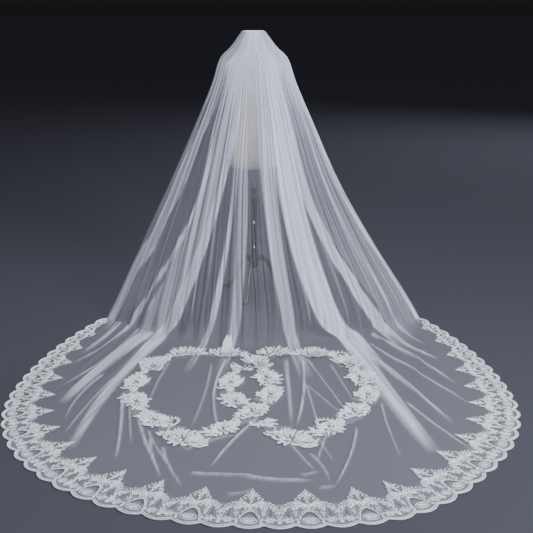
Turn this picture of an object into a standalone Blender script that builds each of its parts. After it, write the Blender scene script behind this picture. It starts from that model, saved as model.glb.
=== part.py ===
"""Cathedral bridal veil of tulle with a scalloped lace border and two lace hearts, on a limbless dress
form with a wooden tripod stand. Metres, +Z up. The train lies on the floor towards -Y.

The veil is one sheet, worked out as a grid. Its columns follow the folds from the gathered top to the
hem. Its rows are the sections of the tent that falls from the shoulders, then the rows of the train.
Each stretch of tulle is a rectangle of that grid, given its thickness outwards and upwards.
Lace is cut flat, as an outline with gaps, and lies on the tulle.
"""

import math
from collections import namedtuple

import bmesh
import bpy
import numpy as np
from mathutils import Vector, geometry

# Clearances and walls
SEAM_GAP = 0.0003
TULLE_WALL = 0.0012
LACE_WALL = 0.0016
APPLIQUE_WALL = 0.0020

# The train on the floor, measured from the form's axis: forward is towards the hem
TRAIN_CENTRE_X = 0.05
TRAIN_CENTRE_FORWARD = 1.60
TRAIN_RADIUS = 1.115
TRAIN_ROUND = 1.130
CORNER_FORWARD = 0.50
CORNER_NARROWING = 0.232
HEM_SWELL = 0.045
HEM_SWELL_AT = math.radians(27)
HEM_SWELL_WIDTH = math.radians(16)

# The lace border
REPEATS = 27
SCALLOPS_PER_REPEAT = 2
SCALLOP_RISE = 0.022
BorderDepth = namedtuple("BorderDepth", "from_corner depth")
BORDER_DEPTHS = [  # how far the palmettes reach in from the hem, along it from either corner
    BorderDepth(0.00, 0.022),
    BorderDepth(0.17, 0.075),
    BorderDepth(0.44, 0.112),
    BorderDepth(0.80, 0.160),
    BorderDepth(1.10, 0.183),
    BorderDepth(1.80, 0.228),
    BorderDepth(2.80, 0.250),
]
FLAT_MARGIN = 0.012  # flat tulle past the tips of the palmettes

# The two hearts
HEART_WIDTH = 0.626
HEART_LENGTH = 1.030
HEART_TOP_FORWARD = 1.050
HEART_CENTRES = (-0.2205, 0.221)
HEART_STEP = 0.006
HEART_CLEAR = 0.005
SPRIGS_PER_HEART = 12
SPRIG_GAP_CLEAR = 0.15
RIGHT_HEART_OUTER = (-0.86, 7.20)  # the arc outside the left heart, in sprigs from the dip
RIGHT_HEART_INNER = (8.00, 10.32)  # the arc inside the left heart

# The form and its stand
NECK_TOP = 1.545
NECK_RADIUS = 0.054
CAP_HEIGHT = 0.012
FORM_BASE = 0.775
POST_RADIUS = 0.011
COLUMN_TOP = 0.660
COLUMN_BASE = 0.262
HUB_BASE = 0.165
LEG_ANGLES = {"stand_leg_front": -13, "stand_leg_left": -130, "stand_leg_right": 128}
SCREW_HEIGHTS = {"upper_screw": 0.450, "lower_screw": 0.302}

# One row for each fold, from the left side edge to the right one. share is its part of the width
# of the cloth, lean how far it lies over its neighbour, from 0 for a plain wave to 1 for one doubled
# back, lift how far it stands off as a part of its half width, and floor how much of it goes on along
# the train.
Fold = namedtuple("Fold", "share lean lift floor")
FOLDS = [
    Fold(0.090, 0.75, 0.36, 0.00),
    Fold(0.120, 0.30, 0.50, 0.00),
    Fold(0.090, 0.60, 0.40, 1.00),
    Fold(0.090, 0.45, 0.45, 0.90),
    Fold(0.090, 0.30, 0.36, 1.00),
    Fold(0.090, 1.15, 0.36, 0.00),
    Fold(0.085, 1.00, 0.36, 0.00),
    Fold(0.070, 1.00, 0.45, 0.00),
    Fold(0.070, 0.30, 0.40, 0.00),
    Fold(0.105, 0.75, 0.36, 0.00),
    Fold(0.080, 0.30, 0.50, 0.00),
    Fold(0.070, 0.40, 0.45, 0.00),
    Fold(0.095, 0.95, 0.36, 0.00),
    Fold(0.080, 0.30, 0.50, 0.00),
    Fold(0.080, 1.10, 0.36, 0.00),
    Fold(0.080, 1.15, 0.36, 0.00),
    Fold(0.070, 0.40, 0.45, 0.00),
    Fold(0.070, 1.05, 0.36, 0.60),
    Fold(0.075, 0.30, 0.50, 0.90),
    Fold(0.080, 0.60, 0.40, 1.00),
    Fold(0.080, 0.60, 0.40, 1.00),
    Fold(0.090, 0.50, 0.45, 0.00),
    Fold(0.080, 0.25, 0.45, 0.00),
    Fold(0.100, 0.55, 0.42, 0.00),
]
# The points across a fold, from -1 to 1, and how far each stands out, as a wave and doubled back
FoldStep = namedtuple("FoldStep", "wave_place wave_rise lean_place lean_rise")
FOLD_STEPS = [
    FoldStep(-1.00, 0.00, -1.00, 0.00),
    FoldStep(-0.65, 0.90, 0.50, 0.95),
    FoldStep(-0.35, 0.90, 0.58, 0.40),
    FoldStep(0.35, -0.90, -0.58, -0.40),
    FoldStep(0.65, -0.90, -0.50, -0.95),
]
FOLD_END = FoldStep(1.00, 0.00, 1.00, 0.00)
MOST_MITRE = 1.8  # how much further out a wall may reach at a sharp crease
FLATNESS = 0.3  # a bend flatter than this counts as none when a wall's direction is found

# One row for each section of the tent, from the gathered top to the floor. side is the half width,
# edge and back how far forward the side edges and the centre lie, sweep the half angle of its arc.
Section = namedtuple("Section", "height side offset edge back sweep lean lift")
SECTIONS = [
    Section(1.5660, 0.066, 0.000, 0.040, 0.058, 50, 0.00, 0.25),
    Section(1.4800, 0.130, 0.002, 0.004, 0.086, 65, 0.15, 0.75),
    Section(1.4100, 0.194, 0.003, -0.008, 0.112, 78, 0.38, 1.00),
    Section(1.2700, 0.240, 0.005, 0.030, 0.158, 80, 0.70, 1.25),
    Section(1.0500, 0.336, 0.008, 0.120, 0.245, 78, 0.95, 1.15),
    Section(0.7500, 0.474, 0.010, 0.220, 0.390, 72, 1.00, 1.00),
    Section(0.4100, 0.655, 0.028, 0.335, 0.580, 66, 0.85, 1.00),
    Section(0.1300, 0.812, 0.054, 0.420, 0.800, 62, 0.45, 0.90),
    Section(0.0000, 0.840, 0.055, 0.425, 0.950, 61, 0.00, 0.60),
]
SHOULDER_ROW = 2
FLOOR_ROW = len(SECTIONS) - 1

# One row for each line of the train: along is its place from the foot of the tent to the lace, and
# the other two say how much is left of the folds there.
TrainRow = namedtuple("TrainRow", "along lean lift")
TRAIN_ROWS = [
    TrainRow(0.18, 0.90, 0.50),
    TrainRow(0.55, 0.60, 0.30),
    TrainRow(1.00, 0.00, 0.00),
]
FLOOR_LEAN = 0.28  # a fold on the floor leans over without doubling back
ACROSS_STEP = 0.004  # the step that a line's direction is measured over
HEM_SKEW = 0.5  # how far the side folds run forward along the floor instead of fanning out

# Stretches of the veil by the folds that they take, from and to
FALL_STRETCHES = {
    "veil_fall_left": (0, 4),
    "veil_fall_left_back": (4, 9),
    "veil_fall_back": (9, 14),
    "veil_fall_right_back": (14, 19),
    "veil_fall_right": (19, 24),
}
TRAIN_STRETCHES = {"veil_train_left": (0, 8), "veil_train_back": (8, 16), "veil_train_right": (16, 24)}
BORDER_STRETCHES = {"lace_border_left": (0, 9), "lace_border_back": (9, 18), "lace_border_right": (18, 27)}

# One repeat of the border. Phase runs from one dip of the scalloped edge to the next but one. The
# palmette stands over the first scallop, the low sprig over the second. Depth is a part of the border's.
PALMETTE_PHASE = 0.25
SPRIG_PHASE = 0.75
Outline = namedtuple("Outline", "across depth")
PALMETTE_SIDE = [  # from the bud at the tip, out to the middle of the low scrolls
    Outline(0.000, 1.00),
    Outline(0.045, 0.87),
    Outline(0.100, 0.88),
    Outline(0.135, 0.74),
    Outline(0.205, 0.76),
    Outline(0.245, 0.62),
    Outline(0.330, 0.66),
    Outline(0.400, 0.58),
]
SCALLOP_STEPS = (0.0, 0.22, 0.5, 0.78)

# The gaps of one repeat, measured from the palmette or the sprig, as parts of the repeat and depth
Gap = namedtuple("Gap", "phase points")
ARCH_GAP = [(-0.150, 0.19), (-0.090, 0.36), (0.090, 0.36), (0.150, 0.19), (0.000, 0.29)]
CRESCENT_GAP = [(-0.120, 0.005), (0.0, -0.042), (0.120, 0.005)]
LOOP_GAP = [(-0.024, 0.58), (0.026, 0.60), (0.000, 0.78)]
SCROLL_GAP = [(-0.038, 0.26), (0.036, 0.22), (0.000, 0.46)]
GAPS = [
    Gap(PALMETTE_PHASE, ARCH_GAP),
    Gap(PALMETTE_PHASE, CRESCENT_GAP),
    Gap(SPRIG_PHASE, CRESCENT_GAP),
    Gap(PALMETTE_PHASE - 0.075, LOOP_GAP),
    Gap(PALMETTE_PHASE + 0.075, LOOP_GAP),
    Gap(SPRIG_PHASE - 0.145, SCROLL_GAP),
    Gap(SPRIG_PHASE + 0.145, SCROLL_GAP),
]

# The right half of a heart's middle line, from the dip at its top to its point
HeartPoint = namedtuple("HeartPoint", "across along")
HEART_HALF = [
    HeartPoint(0.00, 0.030),
    HeartPoint(0.30, 0.003),
    HeartPoint(0.60, 0.060),
    HeartPoint(0.88, 0.200),
    HeartPoint(1.00, 0.430),
    HeartPoint(0.93, 0.610),
    HeartPoint(0.72, 0.735),
    HeartPoint(0.38, 0.870),
    HeartPoint(0.00, 1.000),
]
# One sprig of a heart: how wide its leaves reach outwards and inwards along it
Sprig = namedtuple("Sprig", "along outer inner")
SPRIG = [
    Sprig(0.00, 0.016, 0.016),
    Sprig(0.14, 0.058, 0.048),
    Sprig(0.30, 0.050, 0.066),
    Sprig(0.46, 0.062, 0.052),
    Sprig(0.62, 0.052, 0.062),
    Sprig(0.78, 0.050, 0.030),
]
SPRIG_GAP = [(0.30, -0.013), (0.42, -0.010), (0.46, 0.014), (0.34, 0.011)]

# The dress form, from its base to the top of its neck
Ring = namedtuple("Ring", "height side front back")
FORM_RINGS = [
    Ring(FORM_BASE, 0.118, 0.078, 0.082),
    Ring(0.790, 0.146, 0.100, 0.104),
    Ring(0.860, 0.164, 0.108, 0.116),
    Ring(0.960, 0.150, 0.098, 0.102),
    Ring(1.050, 0.122, 0.086, 0.084),
    Ring(1.140, 0.134, 0.104, 0.092),
    Ring(1.230, 0.152, 0.122, 0.104),
    Ring(1.300, 0.162, 0.108, 0.106),
    Ring(1.355, 0.174, 0.084, 0.094),
    Ring(1.388, 0.170, 0.066, 0.080),
    Ring(1.415, 0.128, 0.056, 0.068),
    Ring(1.445, 0.072, 0.050, 0.060),
    Ring(1.490, NECK_RADIUS, 0.050, 0.056),
    Ring(NECK_TOP, NECK_RADIUS, NECK_RADIUS, NECK_RADIUS),
]
FORM_SIDES = 20

# The turned column, as radius up its height
Turning = namedtuple("Turning", "radius height")
COLUMN_TURNING = [
    Turning(0.021, COLUMN_BASE),
    Turning(0.016, 0.285),
    Turning(0.0165, 0.570),
    Turning(0.021, 0.582),
    Turning(0.024, 0.598),
    Turning(0.021, 0.614),
    Turning(0.0165, 0.626),
    Turning(0.019, 0.648),
    Turning(0.016, COLUMN_TOP),
]
HUB_TURNING = [
    Turning(0.010, HUB_BASE),
    Turning(0.022, 0.172),
    Turning(0.027, 0.190),
    Turning(0.027, 0.240),
    Turning(0.024, COLUMN_BASE - SEAM_GAP),
]
TURNED_SIDES = 14

# A cabriole leg from the hub to its foot
LegRing = namedtuple("LegRing", "out height half_height half_width")
LEG_RINGS = [
    LegRing(0.0273, 0.214, 0.019, 0.0100),
    LegRing(0.062, 0.222, 0.016, 0.0110),
    LegRing(0.098, 0.196, 0.014, 0.0110),
    LegRing(0.126, 0.146, 0.013, 0.0105),
    LegRing(0.148, 0.094, 0.012, 0.0105),
    LegRing(0.178, 0.046, 0.012, 0.0115),
]
FOOT_RINGS = [  # upright, and cut off flat by the floor
    LegRing(0.212, 0.011, 0.0165, 0.0170),
    LegRing(0.244, 0.008, 0.0125, 0.0160),
    LegRing(0.253, 0.007, 0.0100, 0.0125),
]
LEG_SIDES = 8

# A thumbscrew, as distance from the column's axis and radius
ScrewRing = namedtuple("ScrewRing", "back radius")
SCREW_RINGS = [
    ScrewRing(0.0161, 0.0035),
    ScrewRing(0.0240, 0.0035),
    ScrewRing(0.0245, 0.0085),
    ScrewRing(0.0330, 0.0085),
    ScrewRing(0.0345, 0.0065),
]
SCREW_SIDES = 10

# The band that holds the gathers, and the comb below it
BAND_HALF_LENGTH = 0.058
BAND_BACK = -0.0385
BAND_DEPTH = 0.012
BAND_HEIGHT = 0.010
BAND_SIDES = 8
BandRing = namedtuple("BandRing", "along girth")
BAND_RINGS = [BandRing(-1.0, 0.6), BandRing(-0.9, 1.0), BandRing(0.9, 1.0), BandRing(1.0, 0.6)]
COMB_HALF_LENGTH = 0.040
COMB_BACK = BAND_BACK + 0.004
COMB_SPINE = 0.007
COMB_TEETH = 14
TOOTH_LENGTH = 0.036
TOOTH_TAPER = 0.1  # how much narrower each side of a tooth is at its tip, in parts of the pitch
COMB_WALL = 0.0020
COMB_HEIGHT = NECK_TOP + CAP_HEIGHT + 2 * SEAM_GAP

SHARP_ANGLE = math.radians(40)
MATERIALS = {}


# ---------------------------------------------------------------- materials and mesh helpers
def material(name, colour, roughness, metallic=0.0):
    if name not in MATERIALS:
        made = bpy.data.materials.new(name)
        made.use_nodes = True
        shader = made.node_tree.nodes["Principled BSDF"]
        shader.inputs["Base Color"].default_value = (*colour, 1.0)
        shader.inputs["Roughness"].default_value = roughness
        shader.inputs["Metallic"].default_value = metallic
        made.diffuse_color = (*colour, 1.0)
        MATERIALS[name] = made
    return MATERIALS[name]


def tulle():
    return material("white_tulle", (0.82, 0.82, 0.88), 0.8)


def lace():
    return material("corded_lace", (0.88, 0.88, 0.90), 0.7)


def wood():
    return material("dark_wood", (0.08, 0.035, 0.025), 0.4)


def chrome():
    return material("chrome", (0.80, 0.80, 0.82), 0.15, 1.0)


def new_object(name, points, faces, finish, smooth=False):
    """One named object from points and faces, its faces turned outwards."""
    mesh = bpy.data.meshes.new(name)
    mesh.from_pydata([tuple(p) for p in points], [], faces)
    mesh.validate()
    shell = bmesh.new()
    shell.from_mesh(mesh)
    bmesh.ops.recalc_face_normals(shell, faces=shell.faces[:])
    shell.to_mesh(mesh)
    shell.free()
    if smooth:
        mesh.shade_smooth()
        mesh.set_sharp_from_angle(angle=SHARP_ANGLE)
    mesh.materials.append(finish)
    bpy.context.scene.collection.objects.link(bpy.data.objects.new(name, mesh))


def boundary_edges(faces):
    """The directed edges that only one face has."""
    edges = {}
    for face in faces:
        for i, a in enumerate(face):
            b = face[(i + 1) % len(face)]
            if (b, a) in edges:
                del edges[(b, a)]
            else:
                edges[(a, b)] = True
    return list(edges)


def split_quads(points, faces):
    """Each quad as two triangles along its shorter diagonal, so that both sides of a wall fold alike."""
    made = []
    for face in faces:
        if len(face) == 3:
            made.append(face)
            continue
        a, b, c, d = face
        if np.linalg.norm(points[a] - points[c]) <= np.linalg.norm(points[b] - points[d]):
            made += [(a, b, c), (a, c, d)]
        else:
            made += [(a, b, d), (b, c, d)]
    return made


def thicken(name, points, faces, directions, wall, finish):
    """A closed wall on a sheet whose faces turn anticlockwise seen from the side it grows to."""
    points = np.asarray(points)
    faces = split_quads(points, faces)
    count = len(points)
    both = np.vstack([points, points + np.asarray(directions) * wall])
    upper = [tuple(i + count for i in face) for face in faces]
    lower = [tuple(reversed(face)) for face in faces]
    rims = []
    for a, b in boundary_edges(faces):  # cut the same way on both sides of a seam
        corner = b + count if a < b else a + count
        rims += [(a, b, corner), (a, corner, a + count) if a < b else (b, b + count, corner)]
    new_object(name, both, upper + lower + rims, finish)


def loft(name, rings, finish):
    """A closed body through rings of equally many points, each anticlockwise seen from above it."""
    points = [p for ring in rings for p in ring]
    sides = len(rings[0])
    faces = [tuple(reversed(range(sides)))]
    for row in range(len(rings) - 1):
        for i in range(sides):
            j = (i + 1) % sides
            first, second = row * sides, (row + 1) * sides
            faces.append((first + i, first + j, second + j, second + i))
    faces.append(tuple(range((len(rings) - 1) * sides, len(rings) * sides)))
    new_object(name, points, faces, finish, smooth=True)


def inside(x, y, loop):
    hit = False
    for i, (xa, ya) in enumerate(loop):
        xb, yb = loop[i - 1]
        if (ya > y) != (yb > y) and x < (xb - xa) * (y - ya) / (yb - ya) + xa:
            hit = not hit
    return hit


def flat_region(outline, gaps):
    """Points and triangles of a flat outline with gaps, facing up. The points keep their order."""
    loops = [outline, *gaps]
    points = [tuple(p) for loop in loops for p in loop]
    edges = []
    start = 0
    for loop in loops:
        edges += [(start + i, start + (i + 1) % len(loop)) for i in range(len(loop))]
        start += len(loop)
    found = geometry.delaunay_2d_cdt([Vector(p) for p in points], edges, [], 1, 1e-7)
    given = [sources[0] if sources else None for sources in found[3]]
    kept = []
    for face in found[2]:
        corners = [given[i] for i in face]
        if None in corners:
            raise ValueError("an outline crosses itself")
        x, y = (sum(points[i][axis] for i in corners) / 3 for axis in (0, 1))
        if inside(x, y, outline) and not any(inside(x, y, gap) for gap in gaps):
            (ax, ay), (bx, by), (cx, cy) = (points[i] for i in corners)
            turns_left = (bx - ax) * (cy - ay) > (by - ay) * (cx - ax)
            kept.append(tuple(corners) if turns_left else tuple(reversed(corners)))
    return points, kept


def on_floor(x, forward, z=0.0):
    """A place given by its distance forward from the form's axis."""
    return np.array([x, -forward, z])


# ---------------------------------------------------------------- the hem
def hem_samples():
    """The line through the dips of the scallops, from the left corner round to the right one."""
    span = TRAIN_CENTRE_FORWARD - CORNER_FORWARD
    steps = np.linspace(0.0, 1.0, 81)
    narrowing = CORNER_NARROWING * (1 - steps) ** 2
    left = np.column_stack([narrowing - TRAIN_RADIUS, CORNER_FORWARD + span * steps])
    angles = np.linspace(-math.pi / 2, math.pi / 2, 241)
    swell = 1 + HEM_SWELL * np.exp(-(((angles - HEM_SWELL_AT) / HEM_SWELL_WIDTH) ** 2))
    round_end = np.column_stack([
        TRAIN_RADIUS * swell * np.sin(angles),
        TRAIN_CENTRE_FORWARD + TRAIN_ROUND * swell * np.cos(angles),
    ])
    right = (left * (-1, 1))[::-1]
    line = np.vstack([left[:-1], round_end, right[1:]])
    return line + (TRAIN_CENTRE_X, 0)


HEM_LINE = hem_samples()
HEM_DISTANCES = np.concatenate([[0], np.cumsum(np.linalg.norm(np.diff(HEM_LINE, axis=0), axis=1))])
HEM_LENGTH = float(HEM_DISTANCES[-1])


def hem_point(s, inward=0.0):
    """The place on the floor at distance s along the hem and this far in from it, as (x, forward)."""
    step = 0.004
    place = [np.interp(s, HEM_DISTANCES, HEM_LINE[:, axis]) for axis in (0, 1)]
    ahead = [np.interp(s + step, HEM_DISTANCES, HEM_LINE[:, axis]) for axis in (0, 1)]
    behind = [np.interp(s - step, HEM_DISTANCES, HEM_LINE[:, axis]) for axis in (0, 1)]
    along = np.subtract(ahead, behind)
    along /= np.linalg.norm(along)
    return np.array(place) + inward * np.array([along[1], -along[0]])


def border_depth(s):
    """The lace is deepest at the middle of the train and narrows to the two corners."""
    stops = [row.from_corner for row in BORDER_DEPTHS]
    return float(np.interp(min(s, HEM_LENGTH - s), stops, [row.depth for row in BORDER_DEPTHS]))


def hem_distance(across):
    """Where a column of the cloth meets the hem, across from -1 to 1."""
    fanned = 2 / math.pi * math.asin(max(-1.0, min(1.0, across)))
    return HEM_LENGTH * (0.5 + 0.5 * ((1 - HEM_SKEW) * across + HEM_SKEW * fanned))


def scallop_rise(s):
    pitch = HEM_LENGTH / (REPEATS * SCALLOPS_PER_REPEAT)
    return SCALLOP_RISE * abs(math.sin(math.pi * s / pitch)) ** 0.8


def hem_edge(start, end):
    """The scalloped edge between two distances along the hem."""
    pitch = HEM_LENGTH / (REPEATS * SCALLOPS_PER_REPEAT)
    stops = [pitch * (i + step) for i in range(REPEATS * SCALLOPS_PER_REPEAT) for step in SCALLOP_STEPS]
    clear = 0.004
    distances = [start, *[s for s in stops if start + clear < s < end - clear], end]
    return [tuple(hem_point(s, -scallop_rise(s))) for s in distances]


# ---------------------------------------------------------------- the sheet of tulle
def fold_edges():
    total = sum(fold.share for fold in FOLDS)
    return np.concatenate([[0], np.cumsum([fold.share for fold in FOLDS])]) / total * 2 - 1


FOLD_EDGES = fold_edges()


# A column of the sheet: the middle and half width of its fold across the cloth, and its step there
Column = namedtuple("Column", "middle half fold step")


def columns():
    made = []
    for i, fold in enumerate(FOLDS):
        middle = (FOLD_EDGES[i] + FOLD_EDGES[i + 1]) / 2
        half = (FOLD_EDGES[i + 1] - FOLD_EDGES[i]) / 2
        made += [Column(middle, half, fold, step) for step in FOLD_STEPS]
    return [*made, made[-1]._replace(step=FOLD_END)]


COLUMNS = columns()


def first_column(fold_number):
    return fold_number * len(FOLD_STEPS)


def folded(column, lean):
    """Where a column comes across the cloth and how far out, when its fold leans this much."""
    step = column.step
    place = step.wave_place + (step.lean_place - step.wave_place) * lean
    rise = step.wave_rise + (step.lean_rise - step.wave_rise) * lean
    return column.middle + column.half * place, column.half * rise * column.fold.lift


def section_point(section, across):
    sweep = math.radians(section.sweep)
    angle = across * sweep
    rise = (math.cos(angle) - math.cos(sweep)) / (1 - math.cos(sweep))
    x = section.offset + section.side * math.sin(angle) / math.sin(sweep)
    return on_floor(x, section.edge + (section.back - section.edge) * rise, section.height)


def train_point(row, across):
    foot = section_point(SECTIONS[FLOOR_ROW], across)
    s = hem_distance(across)
    lace_edge = on_floor(*hem_point(s, border_depth(s) + FLAT_MARGIN))
    return foot + (lace_edge - foot) * row.along


def speed_and_out(line, across):
    """How fast a line runs for each part of the cloth's width there, and its outward direction."""
    first, last = max(-1.0, across - ACROSS_STEP), min(1.0, across + ACROSS_STEP)
    change = (line(last) - line(first)) / (last - first)
    speed = float(np.linalg.norm(change))
    return speed, np.array([change[1], -change[0], 0.0]) / speed


def tent_row(section):
    points = []
    on_the_floor = section.height == 0
    for column in COLUMNS:
        floor = column.fold.floor
        lean = FLOOR_LEAN * floor if on_the_floor else column.fold.lean * section.lean
        place, rise = folded(column, lean)
        speed, out = speed_and_out(lambda t: section_point(section, t), place)
        rise *= speed * section.lift
        base = section_point(section, place) + out * rise
        if on_the_floor:
            base[2] = max(0.0, rise) * floor
        points.append(base)
    return points


def train_row(row):
    points = []
    for column in COLUMNS:
        floor = column.fold.floor
        place, rise = folded(column, FLOOR_LEAN * row.lean * floor)
        speed, _ = speed_and_out(lambda t: train_point(row, t), place)
        base = train_point(row, place)
        base[2] = max(0.0, rise) * speed * row.lift * floor
        points.append(base)
    return points


def sheet_grid():
    return np.array([*[tent_row(section) for section in SECTIONS], *[train_row(row) for row in TRAIN_ROWS]])


def quads(rows, across):
    """Faces of a grid, anticlockwise seen from outside."""
    return [
        (r * across + c, (r + 1) * across + c, (r + 1) * across + c + 1, r * across + c + 1)
        for r in range(rows - 1)
        for c in range(across - 1)
    ]


def smoothed(directions):
    """The mean over a fold's width, for the gathered top, whose folds are as narrow as its wall."""
    reach = len(FOLD_STEPS)
    padded = np.vstack([directions[:1]] * reach + [directions] + [directions[-1:]] * reach)
    means = np.array([padded[i : i + 2 * reach + 1].mean(axis=0) for i in range(len(directions))])
    return means / np.linalg.norm(means, axis=1, keepdims=True)


def wall_directions(grid):
    """Which way the wall grows from each point, so that two stretches agree along their seam. It is
    longer than one where the cloth creases, which keeps the wall as thick there."""
    points = grid.reshape(-1, 3)
    around = [[] for _ in points]
    for a, b, c in split_quads(points, quads(*grid.shape[:2])):
        normal = np.cross(points[b] - points[a], points[c] - points[a])
        for corner in (a, b, c):
            around[corner].append(normal / np.linalg.norm(normal))
    found = np.array([np.linalg.pinv(np.array(n), rcond=FLATNESS) @ np.ones(len(n)) for n in around])
    lengths = np.linalg.norm(found, axis=1, keepdims=True)
    found *= np.clip(lengths, 1.0, MOST_MITRE) / lengths
    directions = found.reshape(grid.shape)
    directions[0] = smoothed(directions[0])
    directions[-1] = (0, 0, 1)
    return directions


GRID = sheet_grid()
DIRECTIONS = wall_directions(GRID)


def pull_in(points, edge, inner):
    """Moves one edge of a stretch in by half the seam gap."""
    towards = points[inner] - points[edge]
    lengths = np.linalg.norm(towards, axis=-1, keepdims=True)
    points[edge] = points[edge] + towards / lengths * SEAM_GAP / 2


def stretch_of(first_row, last_row, first, last):
    """A copy of a rectangle of the grid and its wall's directions, drawn in where another meets it."""
    points = GRID[first_row : last_row + 1, first : last + 1].copy()
    directions = DIRECTIONS[first_row : last_row + 1, first : last + 1]
    if first > 0:
        pull_in(points, (slice(None), 0), (slice(None), 1))
    if last < len(COLUMNS) - 1:
        pull_in(points, (slice(None), -1), (slice(None), -2))
    if first_row > 0:
        pull_in(points, 0, 1)
    if last_row < len(GRID) - 1:
        pull_in(points, -1, -2)
    return points, directions


def make_tent_stretch(name, first_row, last_row, first, last):
    points, directions = stretch_of(first_row, last_row, first, last)
    faces = quads(*points.shape[:2])
    thicken(name, points.reshape(-1, 3), faces, directions.reshape(-1, 3), TULLE_WALL, tulle())


def make_train_stretch(name, first, last):
    """The folded part as a grid, and under the lace a flat band out to the scalloped edge."""
    points, directions = stretch_of(FLOOR_ROW, len(GRID) - 1, first, last)
    if not points[:, :, 2].any():  # nothing stands up, so most rows between are left out
        points, directions = points[[0, 1, -1]], directions[[0, 1, -1]]
    rows, across = points.shape[:2]
    ends = [hem_distance(folded(COLUMNS[c], 0)[0]) for c in (first, last)]
    ends[0] += SEAM_GAP / 2 if first > 0 else 0
    ends[1] -= SEAM_GAP / 2 if last < len(COLUMNS) - 1 else 0
    edge = hem_edge(*ends)
    inner = [(p[0], -p[1]) for p in points[-1]]
    flat, triangles = flat_region([*inner, *reversed(edge)], [])
    index = [*range((rows - 1) * across, rows * across), *range(rows * across, rows * across + len(edge))]
    joined = [*points.reshape(-1, 3), *[on_floor(x, forward) for x, forward in flat[across:]]]
    band = [tuple(index[i] for i in reversed(face)) for face in triangles]
    upwards = np.tile((0.0, 0.0, 1.0), (len(joined) - rows * across, 1))
    faces = quads(rows, across) + band
    thicken(name, joined, faces, np.vstack([directions.reshape(-1, 3), upwards]), TULLE_WALL, tulle())


def make_veil():
    last = len(COLUMNS) - 1
    make_tent_stretch("veil_crown", 0, SHOULDER_ROW, 0, last)
    for name, (start, end) in FALL_STRETCHES.items():
        make_tent_stretch(name, SHOULDER_ROW, FLOOR_ROW, first_column(start), first_column(end))
    for name, (start, end) in TRAIN_STRETCHES.items():
        make_train_stretch(name, first_column(start), first_column(end))


# ---------------------------------------------------------------- lace
def lay_lace(name, outline, gaps, wall):
    """Lace cut to an outline of (x, forward), lying on the tulle."""
    turned = [[(x, -forward) for x, forward in loop] for loop in (outline, *gaps)]
    flat, faces = flat_region(turned[0], turned[1:])
    height = TULLE_WALL + SEAM_GAP
    points = [(x, y, height) for x, y in flat]
    thicken(name, points, faces, np.tile((0.0, 0.0, 1.0), (len(points), 1)), wall, lace())


def border_place(repeat, phase, depth):
    s = (repeat + phase) * HEM_LENGTH / REPEATS
    s = min(max(s, 0.0), HEM_LENGTH)
    return tuple(hem_point(s, depth * border_depth(s)))


def palmette_outline(repeat):
    """The lace's inner edge over one repeat, as (phase, depth), with the palmette at its phase."""
    right = [(PALMETTE_PHASE + row.across, row.depth) for row in PALMETTE_SIDE]
    left = [(PALMETTE_PHASE - row.across, row.depth) for row in PALMETTE_SIDE[1:]]
    around = sorted(left + right)
    wrapped = [(phase + 1, depth) for phase, depth in around if phase < 0]
    kept = [(phase, depth) for phase, depth in around if phase >= 0] + wrapped
    return [border_place(repeat, phase, depth) for phase, depth in sorted(kept)]


def edge_depth(phase):
    """The depth of the inner edge where one repeat meets the next."""
    across = [row.across for row in PALMETTE_SIDE]
    return float(np.interp(abs(phase - PALMETTE_PHASE), across, [row.depth for row in PALMETTE_SIDE]))


def make_border_stretch(name, first, last):
    repeat_length = HEM_LENGTH / REPEATS
    gap = SEAM_GAP / 2 / repeat_length
    start = first + (gap if first > 0 else 0)
    end = last - (gap if last < REPEATS else 0)
    edge = hem_edge(start * repeat_length, end * repeat_length)
    seam_depth = edge_depth(0.0)
    inner = [border_place(start, 0.0, seam_depth)]
    for repeat in range(first, last):
        inner += palmette_outline(repeat)
    inner.append(border_place(end, 0.0, seam_depth))
    gaps = []
    for repeat in range(first, last):
        for cut in GAPS:
            gaps.append([border_place(repeat, cut.phase + across, depth) for across, depth in cut.points])
    lay_lace(name, [*edge, *reversed(inner)], gaps, LACE_WALL)


def smooth_through(rows, steps):
    """Points of a Catmull-Rom curve through the rows, ends doubled."""
    rows = np.array(rows, float)
    padded = np.vstack([2 * rows[0] - rows[1], rows, 2 * rows[-1] - rows[-2]])
    made = []
    for i in range(len(rows) - 1):
        a, b, c, d = padded[i : i + 4]
        for step in range(steps):
            t = step / steps
            made.append(0.5 * (2 * b + (c - a) * t + (2 * a - 5 * b + 4 * c - d) * t**2
                               + (3 * b - a - 3 * c + d) * t**3))
    return np.array([*made, rows[-1]])


class HeartLine:
    """The closed middle line of a heart by distance from the dip at its top, clockwise seen from above."""

    def __init__(self, centre):
        half = smooth_through([(row.across, row.along) for row in HEART_HALF], 12)
        right = half * (HEART_WIDTH / 2, HEART_LENGTH)
        left = (right * (-1, 1))[::-1]
        self.centre = centre
        self.line = np.vstack([right, left[1:]]) + (centre, HEART_TOP_FORWARD)
        steps = np.linalg.norm(np.diff(self.line, axis=0), axis=1)
        self.distances = np.concatenate([[0], np.cumsum(steps)])
        self.length = float(self.distances[-1])

    def place(self, s):
        return np.array([np.interp(s % self.length, self.distances, self.line[:, axis]) for axis in (0, 1)])

    def beside(self, s, out):
        """A place this far outside the line, kept on its own side of the heart's middle."""
        along = self.place(s + HEART_STEP) - self.place(s - HEART_STEP)
        along /= np.linalg.norm(along)
        x, forward = self.place(s) + out * np.array([along[1], -along[0]])
        side = 1 if s % self.length < self.length / 2 else -1
        from_corner = min(abs(s - corner) for corner in (0, self.length / 2, self.length))
        if from_corner > HEART_STEP:
            x = self.centre + side * max(side * (x - self.centre), HEART_CLEAR)
        return (x, forward)


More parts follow.
